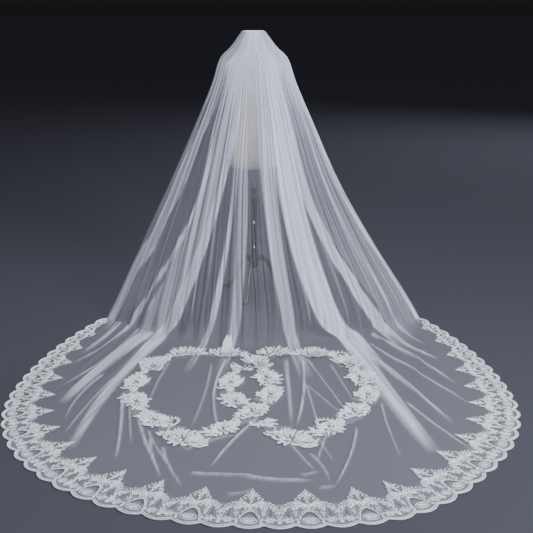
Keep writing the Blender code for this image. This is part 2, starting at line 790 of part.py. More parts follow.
def make_heart_arc(name, line, start, end):
    """The sprigs from one place along a heart to another, or the whole ring from 0 to SPRIGS_PER_HEART."""
    pitch = line.length / SPRIGS_PER_HEART
    outer, inner, gaps = [], [], []
    for number in range(math.floor(start), math.ceil(end)):
        for row in SPRIG:
            at = number + row.along
            if start <= at <= end:
                outer.append(line.beside(at * pitch, row.outer))
                inner.append(line.beside(at * pitch, -row.inner))
        first, last = number + SPRIG_GAP[0][0], number + SPRIG_GAP[2][0]
        if start + SPRIG_GAP_CLEAR < first and last < end - SPRIG_GAP_CLEAR:
            gaps.append([line.beside((number + at) * pitch, out) for at, out in SPRIG_GAP])
    if end - start == SPRIGS_PER_HEART:
        lay_lace(name, outer, [inner, *gaps], APPLIQUE_WALL)
    else:
        lay_lace(name, [*outer, *reversed(inner)], gaps, APPLIQUE_WALL)


def make_hearts():
    """The left heart whole, and the right one as two arcs trimmed where they meet it."""
    left, right = (HeartLine(centre) for centre in HEART_CENTRES)
    make_heart_arc("heart_left", left, 0, SPRIGS_PER_HEART)
    make_heart_arc("heart_right_outer", right, *RIGHT_HEART_OUTER)
    make_heart_arc("heart_right_inner", right, *RIGHT_HEART_INNER)


def make_lace():
    for name, (first, last) in BORDER_STRETCHES.items():
        make_border_stretch(name, first, last)
    make_hearts()


# ---------------------------------------------------------------- the form and its stand
def form_ring(ring):
    return [
        (ring.side * math.cos(a), (ring.back if math.sin(a) < 0 else ring.front) * math.sin(a), ring.height)
        for a in circle(FORM_SIDES)
    ]


def turned(name, rows, finish, sides=TURNED_SIDES):
    loft(name, [
        [(row.radius * math.cos(a), row.radius * math.sin(a), row.height) for a in circle(sides)]
        for row in rows
    ], finish)


def circle(sides):
    return [2 * math.pi * i / sides for i in range(sides)]


def make_leg(name, degrees):
    """A cabriole leg, its sections turned to follow its path, with a flat-bottomed pad foot."""
    path = np.array([(ring.out, ring.height) for ring in LEG_RINGS])
    behind, ahead = np.vstack([path[:1], path[:-1]]), np.vstack([path[1:], path[-1:]])
    rings = []
    for i, ring in enumerate([*LEG_RINGS, *FOOT_RINGS]):
        up = np.array([0.0, 1.0])
        if 0 < i < len(LEG_RINGS):
            along = (ahead[i] - behind[i]) / np.linalg.norm(ahead[i] - behind[i])
            up = np.array([-along[1], along[0]])
        middle = np.array([ring.out, ring.height])
        rings.append([
            (*(middle + up * ring.half_height * math.sin(a)), ring.half_width * math.cos(a))
            for a in circle(LEG_SIDES)
        ])
    direction = math.radians(degrees)
    out_way = np.array([math.sin(direction), -math.cos(direction)])
    side_way = np.array([math.cos(direction), math.sin(direction)])
    placed = [
        [(*(out_way * out + side_way * side), max(height, 0.0)) for out, height, side in ring]
        for ring in rings
    ]
    loft(name, placed, wood())


def make_screw(name, height):
    """A thumbscrew whose knob stands off the back of the column."""
    loft(name, [
        [(ring.radius * math.cos(a), -ring.back, height + ring.radius * math.sin(a))
         for a in circle(SCREW_SIDES)]
        for ring in SCREW_RINGS
    ], chrome())


def make_form():
    ivory = material("ivory_jersey", (0.80, 0.76, 0.66), 0.85)
    loft("form_torso", [form_ring(ring) for ring in FORM_RINGS], ivory)
    cap_base = NECK_TOP + SEAM_GAP
    turned("form_neck_cap", [
        Turning(NECK_RADIUS - 0.001, cap_base),
        Turning(NECK_RADIUS + 0.001, cap_base + CAP_HEIGHT * 0.5),
        Turning(NECK_RADIUS - 0.003, cap_base + CAP_HEIGHT),
    ], wood(), 20)
    turned("stand_post", [
        Turning(POST_RADIUS, COLUMN_TOP + SEAM_GAP),
        Turning(POST_RADIUS, FORM_BASE - SEAM_GAP),
    ], material("brushed_steel", (0.55, 0.54, 0.52), 0.35, 1.0), 12)
    turned("stand_column", COLUMN_TURNING, wood())
    turned("stand_hub", HUB_TURNING, wood())
    for name, degrees in LEG_ANGLES.items():
        make_leg(name, degrees)
    for name, height in SCREW_HEIGHTS.items():
        make_screw(name, height)


# ---------------------------------------------------------------- the comb and the gathered band
def make_band():
    """A bound strip that holds the gathers, lying across the neck cap."""
    middle = np.array([BAND_BACK + BAND_DEPTH / 2, COMB_HEIGHT + COMB_WALL + SEAM_GAP + BAND_HEIGHT / 2])
    rings = [
        [(ring.along * BAND_HALF_LENGTH,
          middle[0] + BAND_DEPTH / 2 * ring.girth * math.cos(a),
          middle[1] + BAND_HEIGHT / 2 * ring.girth * math.sin(a))
         for a in circle(BAND_SIDES)]
        for ring in BAND_RINGS
    ]
    loft("gather_band", rings, tulle())


def make_comb():
    """A plain comb, cut as one flat outline, with its teeth pointing forwards over the cap."""
    pitch = 2 * COMB_HALF_LENGTH / (COMB_TEETH - 0.5)
    front = COMB_BACK + COMB_SPINE
    tip = front + TOOTH_LENGTH
    taper = pitch * TOOTH_TAPER
    outline = [(-COMB_HALF_LENGTH, COMB_BACK), (COMB_HALF_LENGTH, COMB_BACK)]
    for tooth in reversed(range(COMB_TEETH)):
        left = -COMB_HALF_LENGTH + tooth * pitch
        right = left + pitch / 2
        outline += [(right, front), (right - taper, tip), (left + taper, tip), (left, front)]
    flat, faces = flat_region(outline, [])
    points = [(x, y, COMB_HEIGHT) for x, y in flat]
    finish = material("clear_comb", (0.85, 0.86, 0.88), 0.25)
    thicken("comb", points, faces, np.tile((0.0, 0.0, 1.0), (len(points), 1)), COMB_WALL, finish)


# ---------------------------------------------------------------- the whole
def centre_on_floor():
    """Parents everything to an empty that puts the middle of the footprint at the origin."""
    parts = [obj for obj in bpy.context.scene.objects if obj.type == "MESH"]
    corners = np.array([v.co for obj in parts for v in obj.data.vertices])
    low, high = corners.min(axis=0), corners.max(axis=0)
    root = bpy.data.objects.new("footprint_centre", None)
    root.location = (-(low[0] + high[0]) / 2, -(low[1] + high[1]) / 2, 0)
    bpy.context.scene.collection.objects.link(root)
    for obj in parts:
        obj.parent = root


def main():
    for obj in list(bpy.data.objects):
        bpy.data.objects.remove(obj, do_unlink=True)
    make_form()
    make_comb()
    make_band()
    make_veil()
    make_lace()
    centre_on_floor()


main()
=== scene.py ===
# %% [markdown]
# # A cathedral bridal veil on a dress form
# A cathedral veil is one wide sheet of silk or nylon tulle, gathered to a hand's breadth at the crown and
# let fall into a long train. Scalloped corded lace is sewn round its hem, and leafy lace motifs are sewn
# on the train as two linked hearts. It could be simulated as cloth, but a gathered sheet this size never
# settles the same way twice, so here its folds come from short tables.

import math
from collections import namedtuple

import bmesh
import bpy
import numpy as np
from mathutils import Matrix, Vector


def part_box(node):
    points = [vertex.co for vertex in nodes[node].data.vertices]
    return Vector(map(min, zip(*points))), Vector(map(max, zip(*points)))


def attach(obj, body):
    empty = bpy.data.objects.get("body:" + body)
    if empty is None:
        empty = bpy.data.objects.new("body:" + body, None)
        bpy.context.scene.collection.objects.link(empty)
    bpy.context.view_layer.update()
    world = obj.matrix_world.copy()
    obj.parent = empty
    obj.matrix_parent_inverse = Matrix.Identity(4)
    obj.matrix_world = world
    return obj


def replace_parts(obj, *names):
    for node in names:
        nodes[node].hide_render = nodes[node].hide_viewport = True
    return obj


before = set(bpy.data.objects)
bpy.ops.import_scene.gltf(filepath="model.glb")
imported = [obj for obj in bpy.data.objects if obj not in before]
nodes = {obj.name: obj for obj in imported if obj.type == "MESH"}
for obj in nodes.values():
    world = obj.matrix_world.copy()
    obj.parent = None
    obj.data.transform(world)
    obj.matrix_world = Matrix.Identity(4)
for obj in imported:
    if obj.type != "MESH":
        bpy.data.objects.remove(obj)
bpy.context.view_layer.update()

# %% [markdown]
# ## Where the veil lies
# Every place on the veil is given by how far it is to the right of the form's axis and how far forward of
# it, towards the hem. The axis is read from the stand's column, so the veil stays on its form.

# %% Places in the room
column_low, column_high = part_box("stand_column")
AXIS = (column_low + column_high) / 2


def in_room(points):
    """Places given as right, forward and up, as x, y and z."""
    return np.stack([AXIS.x + points[..., 0], AXIS.y - points[..., 1], points[..., 2]], axis=-1)


def set_down(flat, z):
    """Places on the floor, given as right and forward, at a height."""
    return np.concatenate([flat, np.broadcast_to(z, flat.shape[:-1])[..., None]], axis=-1)


print(f"the form stands at x {AXIS.x:.3f}, y {AXIS.y:.3f}")

# %% [markdown]
# ## The hem
# The hem runs from the left corner, down the long side, round the end of the train and back up. Its
# scallops are all alike because machine lace repeats, so one line and one scallop describe the whole edge.

# %% The line of the hem
TRAIN_CENTRE = (0.05, 1.60)
TRAIN_RADIUS = 1.115
TRAIN_ROUND = 1.130
CORNER_FORWARD = 0.50
CORNER_NARROWING = 0.232
HEM_SWELL = 0.045
HEM_SWELL_AT = math.radians(27)
HEM_SWELL_WIDTH = math.radians(16)
REPEATS = 27
SCALLOP_RISE = 0.022


def hem_samples():
    """Points through the dips of the scallops, from the left corner round to the right one."""
    steps = np.linspace(0.0, 1.0, 81)
    narrowing = CORNER_NARROWING * (1 - steps) ** 2
    forward = CORNER_FORWARD + (TRAIN_CENTRE[1] - CORNER_FORWARD) * steps
    left = np.column_stack([narrowing - TRAIN_RADIUS, forward])
    angles = np.linspace(-math.pi / 2, math.pi / 2, 241)
    swell = 1 + HEM_SWELL * np.exp(-(((angles - HEM_SWELL_AT) / HEM_SWELL_WIDTH) ** 2))
    across = TRAIN_RADIUS * swell * np.sin(angles)
    round_end = np.column_stack([across, TRAIN_CENTRE[1] + TRAIN_ROUND * swell * np.cos(angles)])
    right = (left * (-1, 1))[::-1]
    return np.vstack([left[:-1], round_end, right[1:]]) + (TRAIN_CENTRE[0], 0)


HEM_LINE = hem_samples()
HEM_RUN = np.concatenate([[0], np.cumsum(np.linalg.norm(np.diff(HEM_LINE, axis=0), axis=1))])
HEM_LENGTH = float(HEM_RUN[-1])
PITCH = HEM_LENGTH / REPEATS
print(f"hem {HEM_LENGTH:.3f} m, one lace repeat {PITCH * 1000:.0f} mm")

# %% A place beside the hem
HEM_STEP = 0.004


def along_line(run, line, s):
    return np.stack([np.interp(s, run, line[:, axis]) for axis in (0, 1)], axis=-1)


def hem_point(s, inward=0.0):
    """Where a distance along the hem lies on the floor, this far in from it."""
    s = np.asarray(s, float)
    way = along_line(HEM_RUN, HEM_LINE, s + HEM_STEP) - along_line(HEM_RUN, HEM_LINE, s - HEM_STEP)
    way /= np.linalg.norm(way, axis=-1, keepdims=True)
    inwards = np.stack([way[..., 1], -way[..., 0]], axis=-1)
    return along_line(HEM_RUN, HEM_LINE, s) + np.asarray(inward)[..., None] * inwards


def scallop_rise(s):
    """How far the scalloped edge stands out past the line of the dips."""
    return SCALLOP_RISE * np.abs(np.sin(math.pi * np.asarray(s) / (PITCH / 2))) ** 0.8


def border_depth(s):
    """How deep the lace is: deepest at the end of the train, narrow at the corners."""
    from_corner = (0.00, 0.17, 0.44, 0.80, 1.10, 1.80, 2.80)
    depth = (0.022, 0.075, 0.112, 0.160, 0.183, 0.228, 0.250)
    return np.interp(np.minimum(s, HEM_LENGTH - np.asarray(s)), from_corner, depth)


print(f"halfway along the hem the lace is {float(border_depth(HEM_LENGTH / 2)) * 1000:.0f} mm deep")

# %% [markdown]
# ## The folds
# A gathered sheet falls in folds, and each one leans over its neighbour like a flattened letter S. Where
# three layers lie on each other the sheer tulle turns white, and between the folds one can see through it.
# So the look of the whole veil is in this table: how much cloth a fold takes, how far it leans, how far it
# stands off, and how much of it still shows on the floor.

# %% The table of folds
Fold = namedtuple("Fold", "share lean lift floor")
FOLDS = [
    Fold(0.090, 0.40, 0.36, 0.00),
    Fold(0.120, 0.25, 0.50, 0.00),
    Fold(0.090, 0.20, 0.40, 1.00),
    Fold(0.090, 0.15, 0.45, 0.90),
    Fold(0.090, 0.15, 0.36, 1.00),
    Fold(0.090, 1.10, 0.36, 0.00),
    Fold(0.085, 1.10, 0.36, 0.00),
    Fold(0.070, 0.90, 0.45, 0.00),
    Fold(0.070, 0.15, 0.40, 0.00),
    Fold(0.105, 0.50, 0.36, 0.00),
    Fold(0.080, 0.15, 0.50, 0.00),
    Fold(0.070, 0.10, 0.45, 0.00),
    Fold(0.095, 0.80, 0.36, 0.00),
    Fold(0.080, 0.30, 0.50, 0.00),
    Fold(0.080, 1.10, 0.36, 0.00),
    Fold(0.080, 1.15, 0.36, 0.00),
    Fold(0.070, 0.80, 0.45, 0.00),
    Fold(0.070, 1.00, 0.36, 0.60),
    Fold(0.075, 0.25, 0.50, 0.90),
    Fold(0.080, 0.30, 0.40, 1.00),
    Fold(0.080, 0.50, 0.40, 1.00),
    Fold(0.090, 0.30, 0.45, 0.00),
    Fold(0.080, 0.30, 0.45, 0.00),
    Fold(0.100, 0.45, 0.42, 0.00),
]
STEPS_PER_FOLD = 28
fold_table = np.array(FOLDS)
edges = np.concatenate([[0], np.cumsum(fold_table[:, 0])]) / fold_table[:, 0].sum() * 2 - 1
column_fold = np.repeat(np.arange(len(FOLDS)), STEPS_PER_FOLD)
column_step = np.tile(np.arange(STEPS_PER_FOLD) / STEPS_PER_FOLD, len(FOLDS))
column_fold = np.append(column_fold, len(FOLDS) - 1)
column_step = np.append(column_step, 1.0)
middle = (edges[:-1] + edges[1:])[column_fold] / 2
half = (edges[1:] - edges[:-1])[column_fold] / 2
_, fold_lean, fold_lift, fold_floor = fold_table[column_fold].T
print(f"{len(FOLDS)} folds, {len(column_fold)} columns across the cloth")

# %% The shape of one fold
S_REACH = 0.95
S_LEAD = 0.4
CREST = 0.92


def fold_shape(step, lean):
    """Where the cloth of a fold comes, from -1 to 1 across it, and how far it stands out."""
    lead = S_LEAD * np.sin(math.pi * step) ** 2
    place = 2 * step - 1 + S_REACH * lean * np.sin(2 * math.pi * step - lead)
    return place, CREST * np.sin(2 * math.pi * step)


print(f"an upright fold crests at {float(fold_shape(0.25, 0.0)[0]):+.2f}, and one that leans at "
      f"{float(fold_shape(0.25, 1.0)[0]):+.2f} of its half width")

# %% [markdown]
# ## The tent
# From the crown the cloth falls over the shoulders and spreads like a tent. Each row below is one level
# cut through it: an arc with a half width, a depth in the middle and at its edges, and how far round it
# sweeps. Where the arcs are small the same cloth is packed closer, as in a real gather.

# %% The sections of the tent
Section = namedtuple("Section", "height side offset edge back sweep lean lift ripple")
SECTIONS = [
    Section(1.5660, 0.066, 0.000, 0.040, 0.058, 50, 0.00, 0.25, 0.0008),
    Section(1.4800, 0.130, 0.002, 0.004, 0.086, 65, 0.15, 0.75, 0.0024),
    Section(1.4100, 0.194, 0.003, -0.008, 0.112, 78, 0.38, 1.00, 0.0036),
    Section(1.2700, 0.240, 0.005, 0.030, 0.158, 80, 0.70, 1.25, 0.0050),
    Section(1.0500, 0.336, 0.008, 0.120, 0.245, 78, 0.95, 1.15, 0.0062),
    Section(0.7500, 0.474, 0.010, 0.220, 0.390, 72, 1.00, 1.00, 0.0068),
    Section(0.4100, 0.655, 0.028, 0.335, 0.580, 66, 0.85, 1.00, 0.0060),
    Section(0.1300, 0.812, 0.054, 0.420, 0.800, 62, 0.45, 0.90, 0.0040),
    Section(0.0000, 0.840, 0.055, 0.425, 0.950, 61, 0.00, 0.60, 0.0000),
]
ACROSS_STEP = 0.004
FLOOR_LEAN = 0.28
FLARE_BELOW = 0.13  # near the floor the sides of the tent spread outwards and towards the hem
FLARE_OUT = 0.045
FLARE_FORWARD = 0.060
RIPPLES_PER_FOLD = 3
RIPPLE_SHIFT = 2.4  # keeps the ripples of neighbouring folds out of step


def section_line(section, across):
    sweep = math.radians(section.sweep)
    rise = (np.cos(across * sweep) - math.cos(sweep)) / (1 - math.cos(sweep))
    flare = max(0.0, 1 - section.height / FLARE_BELOW) * np.abs(across) ** 2
    x = section.offset + section.side * np.sin(across * sweep) / math.sin(sweep)
    x += FLARE_OUT * flare * np.sign(across)
    forward = section.edge + (section.back - section.edge) * rise
    forward += FLARE_FORWARD * flare * np.abs(across) ** 6
    return np.stack([x, forward, np.full_like(x, section.height)], axis=-1)


def speed_and_out(line, across):
    """How fast a line runs for each part of the cloth's width there, and which way is outwards."""
    first, last = np.maximum(-1.0, across - ACROSS_STEP), np.minimum(1.0, across + ACROSS_STEP)
    change = (line(last) - line(first)) / (last - first)[:, None]
    speed = np.linalg.norm(change, axis=1)
    return speed, np.stack([-change[:, 1], change[:, 0], 0 * speed], axis=1) / speed[:, None]


def tent_row(section):
    """One level of the tent: folds, the ripples of the gathers on them, and each point's place across."""
    on_the_floor = section.height == 0
    lean = FLOOR_LEAN * fold_floor if on_the_floor else fold_lean * section.lean
    place, rise = fold_shape(column_step, lean)
    across = middle + half * place
    speed, out = speed_and_out(lambda t: section_line(section, t), across)
    rise = rise * half * fold_lift * speed * section.lift
    ripple = np.sin(2 * math.pi * RIPPLES_PER_FOLD * column_step + RIPPLE_SHIFT * column_fold)
    points = section_line(section, across) + out * (rise + section.ripple * ripple)[:, None]
    if on_the_floor:
        points[:, 2] = np.maximum(0, rise) * fold_floor
    return np.column_stack([points, across])


print(f"{len(SECTIONS)} levels from {SECTIONS[0].height:.2f} m down to the floor")

# %% [markdown]
# ## The train
# On the floor the sheet spreads from the foot of the tent to the lace. The side folds run on forwards and
# die out under the border, and the middle lies almost smooth, as a train does once it has been arranged.

# %% The rows of the train
TrainRow = namedtuple("TrainRow", "along lean lift")
TRAIN_ROWS = [TrainRow(0.18, 0.90, 0.50), TrainRow(0.55, 0.60, 0.30), TrainRow(1.00, 0.00, 0.00)]
HEM_SKEW = 0.5
FLAT_MARGIN = 0.012


def hem_distance(across):
    """Where a column of the cloth meets the hem."""
    fanned = 2 / math.pi * np.arcsin(np.clip(across, -1, 1))
    return HEM_LENGTH * (0.5 + 0.5 * ((1 - HEM_SKEW) * across + HEM_SKEW * fanned))


def train_line(row, across):
    foot = section_line(SECTIONS[-1], across)
    s = hem_distance(across)
    lace_edge = set_down(hem_point(s, border_depth(s) + FLAT_MARGIN), 0.0)
    return foot + (lace_edge - foot) * row.along


def train_row(row):
    place, rise = fold_shape(column_step, FLOOR_LEAN * row.lean * fold_floor)
    across = middle + half * place
    speed, _ = speed_and_out(lambda t: train_line(row, t), across)
    points = train_line(row, across)
    points[:, 2] = np.maximum(0, rise) * half * fold_lift * speed * row.lift * fold_floor
    return np.column_stack([points, across])


print(f"{len(TRAIN_ROWS)} rows on the floor, the last of them {FLAT_MARGIN * 1000:.0f} mm short of the lace")

# %% Rows in between, on smooth curves
ROW_STEPS = [8, 8, 12, 16, 20, 20, 16, 26, 20, 34, 62]
BAND_STEPS = 20


def smooth_through(rows, steps):
    """Rows on a smooth curve through the given ones, with that many steps after each."""
    padded = np.concatenate([[2 * rows[0] - rows[1]], rows, [2 * rows[-1] - rows[-2]]])
    made = []
    for i, count in enumerate(steps):
        a, b, c, d = padded[i : i + 4]
        for t in np.arange(count) / count:
            bend = (c - a) * t + (2 * a - 5 * b + 4 * c - d) * t**2 + (3 * b - a - 3 * c + d) * t**3
            made.append(b + 0.5 * bend)
    return np.array([*made, rows[-1]])


levels = np.array([*map(tent_row, SECTIONS), *map(train_row, TRAIN_ROWS)])
rows = smooth_through(levels, ROW_STEPS)
hem_s = hem_distance(middle + half * (2 * column_step - 1))
scallops = set_down(hem_point(hem_s, -scallop_rise(hem_s)), 0.0)
last_row = np.column_stack([scallops, rows[-1, :, 3]])
towards_hem = (np.arange(1, BAND_STEPS + 1) / BAND_STEPS)[:, None, None]
rows = np.concatenate([rows, rows[-1] + (last_row - rows[-1]) * towards_hem])
cloth, place_across = rows[..., :3], rows[..., 3]
FOOT_ROW = sum(ROW_STEPS[: len(SECTIONS) - 1])
print(f"the sheet has {cloth.shape[0]} rows, and touches the floor at row {FOOT_ROW}")

# %% [markdown]
# ## Creases on the floor
# From the foot of the tent broad flat folds run out to the hem, and where the tulle was pulled straight by
# hand thin ridges stay behind. Each row here is one of them: two ends, how far it bows, its height, its half
# width, and how many more layers lie in it. The hearts lie on the same ridges, so one function lifts both.

# %% The creases of the train
Crease = namedtuple("Crease", "x forward to_x to_forward bow height width layers")
CREASES = [
    # thin ridges between and below the hearts
    Crease(0.037, 1.850, -0.141, 2.306, 0.012, 0.009, 0.007, 2.2),
    Crease(-0.380, 1.995, -0.235, 2.160, -0.010, 0.006, 0.010, 1.0),
    Crease(-0.250, 2.160, -0.030, 2.005, -0.014, 0.007, 0.010, 1.0),
    Crease(-0.220, 2.350, 0.030, 2.362, 0.006, 0.008, 0.013, 1.3),
    Crease(-0.030, 2.362, 0.247, 2.404, 0.020, 0.009, 0.014, 1.6),
    Crease(0.160, 2.070, 0.258, 2.330, 0.004, 0.007, 0.007, 1.4),
    Crease(0.240, 2.180, 0.308, 2.410, -0.012, 0.007, 0.007, 1.4),
    Crease(0.286, 2.060, 0.335, 2.265, 0.000, 0.005, 0.006, 0.8),
    Crease(0.450, 1.940, 0.324, 2.451, -0.016, 0.008, 0.007, 1.8),
    Crease(0.262, 2.468, 0.330, 2.449, 0.000, 0.006, 0.012, 0.9),
    Crease(0.200, 2.364, 0.270, 2.336, 0.004, 0.006, 0.012, 0.9),
    Crease(-0.070, 2.512, 0.030, 2.478, 0.006, 0.006, 0.013, 0.8),
    Crease(-0.402, 2.045, -0.320, 2.385, 0.010, 0.009, 0.008, 1.6),
    Crease(-0.342, 2.120, -0.232, 2.460, 0.014, 0.008, 0.009, 1.3),
    # inside the hearts
    Crease(-0.117, 1.110, -0.122, 1.980, 0.046, 0.010, 0.009, 2.0),
    Crease(-0.200, 1.180, -0.244, 1.960, -0.016, 0.006, 0.008, 1.0),
    Crease(-0.402, 1.150, -0.450, 1.731, 0.010, 0.007, 0.008, 1.0),
    Crease(0.170, 1.120, 0.180, 1.925, 0.000, 0.006, 0.012, 1.4),
    Crease(0.250, 1.120, 0.200, 1.930, -0.020, 0.009, 0.009, 2.4),
    Crease(0.256, 1.450, 0.296, 2.000, 0.000, 0.006, 0.007, 1.5),
    Crease(0.270, 1.110, 0.440, 1.870, 0.000, 0.006, 0.007, 1.5),
    Crease(0.257, 1.470, 0.424, 1.870, 0.000, 0.005, 0.006, 1.2),
    Crease(0.386, 1.200, 0.464, 1.680, 0.000, 0.005, 0.007, 1.2),
    # the left side, from the outside inwards
    Crease(-0.743, 0.475, -0.865, 1.056, -0.022, 0.008, 0.018, 2.0),
    Crease(-0.690, 0.570, -0.907, 1.226, -0.050, 0.007, 0.010, 1.5),
    Crease(-0.620, 0.640, -0.892, 1.514, -0.045, 0.007, 0.010, 1.5),
    Crease(-0.600, 0.700, -0.860, 1.600, -0.030, 0.006, 0.009, 1.0),
    Crease(-0.545, 0.690, -0.838, 1.700, 0.020, 0.010, 0.034, 3.0),
    Crease(-0.520, 0.760, -0.703, 1.778, 0.000, 0.006, 0.008, 1.5),
    Crease(-0.470, 0.780, -0.706, 2.163, 0.050, 0.010, 0.030, 2.8),
    Crease(-0.700, 1.330, -0.785, 1.853, 0.027, 0.006, 0.008, 1.5),
    Crease(-0.640, 1.360, -0.760, 2.014, 0.012, 0.006, 0.008, 1.2),
    Crease(-0.584, 1.575, -0.512, 2.240, -0.008, 0.009, 0.010, 2.0),
    Crease(-0.540, 1.600, -0.470, 2.100, 0.006, 0.008, 0.008, 1.2),
    Crease(-0.472, 1.850, -0.338, 2.325, 0.010, 0.008, 0.010, 1.8),
    Crease(-0.420, 1.965, -0.282, 2.325, 0.010, 0.007, 0.008, 1.2),
    # the right side, from the inside outwards
    Crease(0.360, 1.880, 0.270, 2.260, 0.008, 0.008, 0.007, 1.6),
    Crease(0.522, 0.800, 0.740, 2.190, 0.020, 0.012, 0.046, 4.0),
    Crease(0.590, 1.060, 0.865, 1.907, 0.000, 0.008, 0.018, 1.8),
    Crease(0.583, 1.669, 0.598, 2.226, 0.010, 0.007, 0.008, 1.2),
    Crease(0.610, 1.560, 0.640, 1.800, 0.000, 0.005, 0.007, 0.8),
    Crease(0.692, 1.669, 0.890, 2.156, 0.010, 0.007, 0.008, 2.0),
    Crease(0.600, 0.900, 0.983, 1.713, 0.000, 0.007, 0.009, 2.0),
    Crease(0.630, 0.740, 0.963, 1.467, -0.010, 0.008, 0.015, 2.0),
    Crease(0.708, 0.670, 0.938, 1.143, 0.030, 0.008, 0.017, 2.5),
    Crease(0.795, 0.565, 0.898, 0.922, 0.022, 0.006, 0.010, 1.5),
]
CREASE_TAPER = 0.4
CREASE_STARTS = 0.08
CREASE_ENDS = 0.20


def ridge(x, forward, crease):
    """How much of a crease there is at each place, from 0 to 1: flat on top, falling away at both sides."""
    start = np.array([crease.x, crease.forward])
    chord = np.array([crease.to_x, crease.to_forward]) - start
    length = np.linalg.norm(chord)
    chord /= length
    t = np.clip(((x - start[0]) * chord[0] + (forward - start[1]) * chord[1]) / length, 0, 1)
    aside = (forward - start[1]) * chord[0] - (x - start[0]) * chord[1] - 4 * crease.bow * t * (1 - t)
    ends = np.minimum(1, t / CREASE_STARTS) * np.minimum(1, (1 - t) / CREASE_ENDS)
    return ends * np.exp(-((aside / (crease.width * (1 - CREASE_TAPER * t))) ** 4))


def relief(x, forward):
    """How high the creases lift the cloth at each place on the floor."""
    return np.max([crease.height * ridge(x, forward, crease) for crease in CREASES], axis=0)


print(f"{len(CREASES)} creases")

# %% Lay the sheet on the floor and over the creases
TULLE_REST = 0.0008
train = cloth[FOOT_ROW:]
lifted = relief(train[..., 0], train[..., 1])
crease_layers = sum(crease.layers * ridge(train[..., 0], train[..., 1], crease) for crease in CREASES)
cloth[FOOT_ROW:, :, 2] += lifted
cloth[..., 2] = np.maximum(cloth[..., 2], TULLE_REST)
print(f"the highest crease stands {lifted.max() * 1000:.0f} mm")

# %% [markdown]
# ## How dense the tulle is
# Near the crown the gathers pack many layers of net into one place. Lower down the cloth hangs singly
# between the folds, and lies several layers thick in each fold that was pressed flat. Both are listed, the
# pressed folds by where their two edges run at the shoulders, at knee height, near the foot and on the floor.
# Their sum goes on the mesh as an attribute, and the tulle's material turns it into opacity.

# %% Layers of cloth at each point
CUT_WIDTH = 3.00
LAYER_HEIGHTS = (0.0, 0.41, 0.66, 0.97, 1.13, 1.27, 1.41, 1.48, 1.566)
LAYERS_THERE = (0.52, 0.48, 0.50, 0.85, 1.6, 3.0, 4.5, 7.0, 10.0)
CROWN_ACROSS = (-1.0, -0.62, -0.40, 0.55, 0.80, 1.0)
CROWN_SHARE = (0.22, 0.26, 0.95, 1.15, 0.75, 0.60)
CROWN_FROM, CROWN_TO = 0.60, 1.10
CROWN_BLEND = (1.00, 1.25)
CROWN_BANDS = 0.45  # how much of each pressed fold is left up in the gathers
Band = namedtuple(
    "Band", "floor_left floor_right foot_left foot_right left right high_left high_right layers"
)
BANDS = [
    Band(-1.020, -0.910, -1.020, -0.918, -0.885, -0.746, -0.828, -0.645, 1.3),
    Band(-0.782, -0.762, -0.740, -0.722, -0.513, -0.493, -0.550, -0.530, 1.6),
    Band(-0.705, -0.521, -0.666, -0.450, -0.503, -0.296, -0.423, -0.199, 0.90),
    Band(-0.580, -0.521, -0.510, -0.450, -0.345, -0.296, -0.250, -0.199, 1.2),
    Band(-0.310, -0.292, -0.272, -0.254, -0.193, -0.175, -0.196, -0.178, 2.2),
    Band(-0.180, -0.150, -0.160, -0.120, -0.142, -0.067, -0.160, -0.100, 1.3),
    Band(0.135, 0.180, 0.106, 0.157, 0.073, 0.173, 0.047, 0.193, 2.3),
    Band(0.410, 0.520, 0.287, 0.411, 0.206, 0.391, 0.203, 0.477, 4.0),
    Band(0.655, 0.725, 0.579, 0.649, 0.419, 0.487, 0.410, 0.477, 3.0),
    Band(0.740, 0.975, 0.690, 0.970, 0.500, 0.940, 0.500, 0.880, 0.65),
    Band(0.790, 0.806, 0.758, 0.776, 0.712, 0.730, 0.720, 0.738, 1.4),
    Band(0.966, 0.982, 0.960, 0.978, 0.893, 0.911, 0.860, 0.878, 2.0),
    Band(0.985, 1.100, 0.985, 1.100, 0.970, 1.100, 0.845, 1.100, 2.8),
]
BAND_HEIGHTS = (0.00, 0.13, 0.66, 1.13)
BAND_SOFTNESS = 0.008
BAND_RIM = 0.007
BAND_RIM_GAIN = 0.8
BAND_FADE = 0.25  # how much of the train the bands run on for
BAND_CURVE = 8  # steps on each stretch of a band's edge


def pressed(band, across, height):
    """How many more layers a pressed fold has at each place, with a brighter rim along either edge."""
    ends = zip(BAND_HEIGHTS, band[0:8:2], band[1:8:2])
    curve = smooth_through(np.array(list(ends)), [BAND_CURVE] * (len(BAND_HEIGHTS) - 1))
    left = np.interp(height, curve[:, 0], curve[:, 1])
    right = np.interp(height, curve[:, 0], curve[:, 2])
    inside = np.tanh((across - left) / BAND_SOFTNESS) - np.tanh((across - right) / BAND_SOFTNESS)
    rims = sum(np.exp(-(((across - edge) / BAND_RIM) ** 2)) for edge in (left, right))
    return band.layers * (0.5 * inside + BAND_RIM_GAIN * rims)


level = cloth[..., 2]
train_rows = len(cloth) - FOOT_ROW
fade = np.interp(np.arange(len(cloth)), [FOOT_ROW, FOOT_ROW + BAND_FADE * train_rows], [1, 0])[:, None]
layers = np.interp(level, LAYER_HEIGHTS, LAYERS_THERE)
share_here = np.interp(place_across, CROWN_ACROSS, CROWN_SHARE)
layers *= 1 + (share_here - 1) * np.interp(level, (CROWN_FROM, CROWN_TO), (0, 1))
fade = fade * np.interp(level, CROWN_BLEND, (1, CROWN_BANDS))
layers = layers + fade * sum(pressed(band, place_across, level) for band in BANDS)
layers[FOOT_ROW:] += crease_layers
print(f"layers run from {layers.min():.1f} to {layers.max():.1f}")

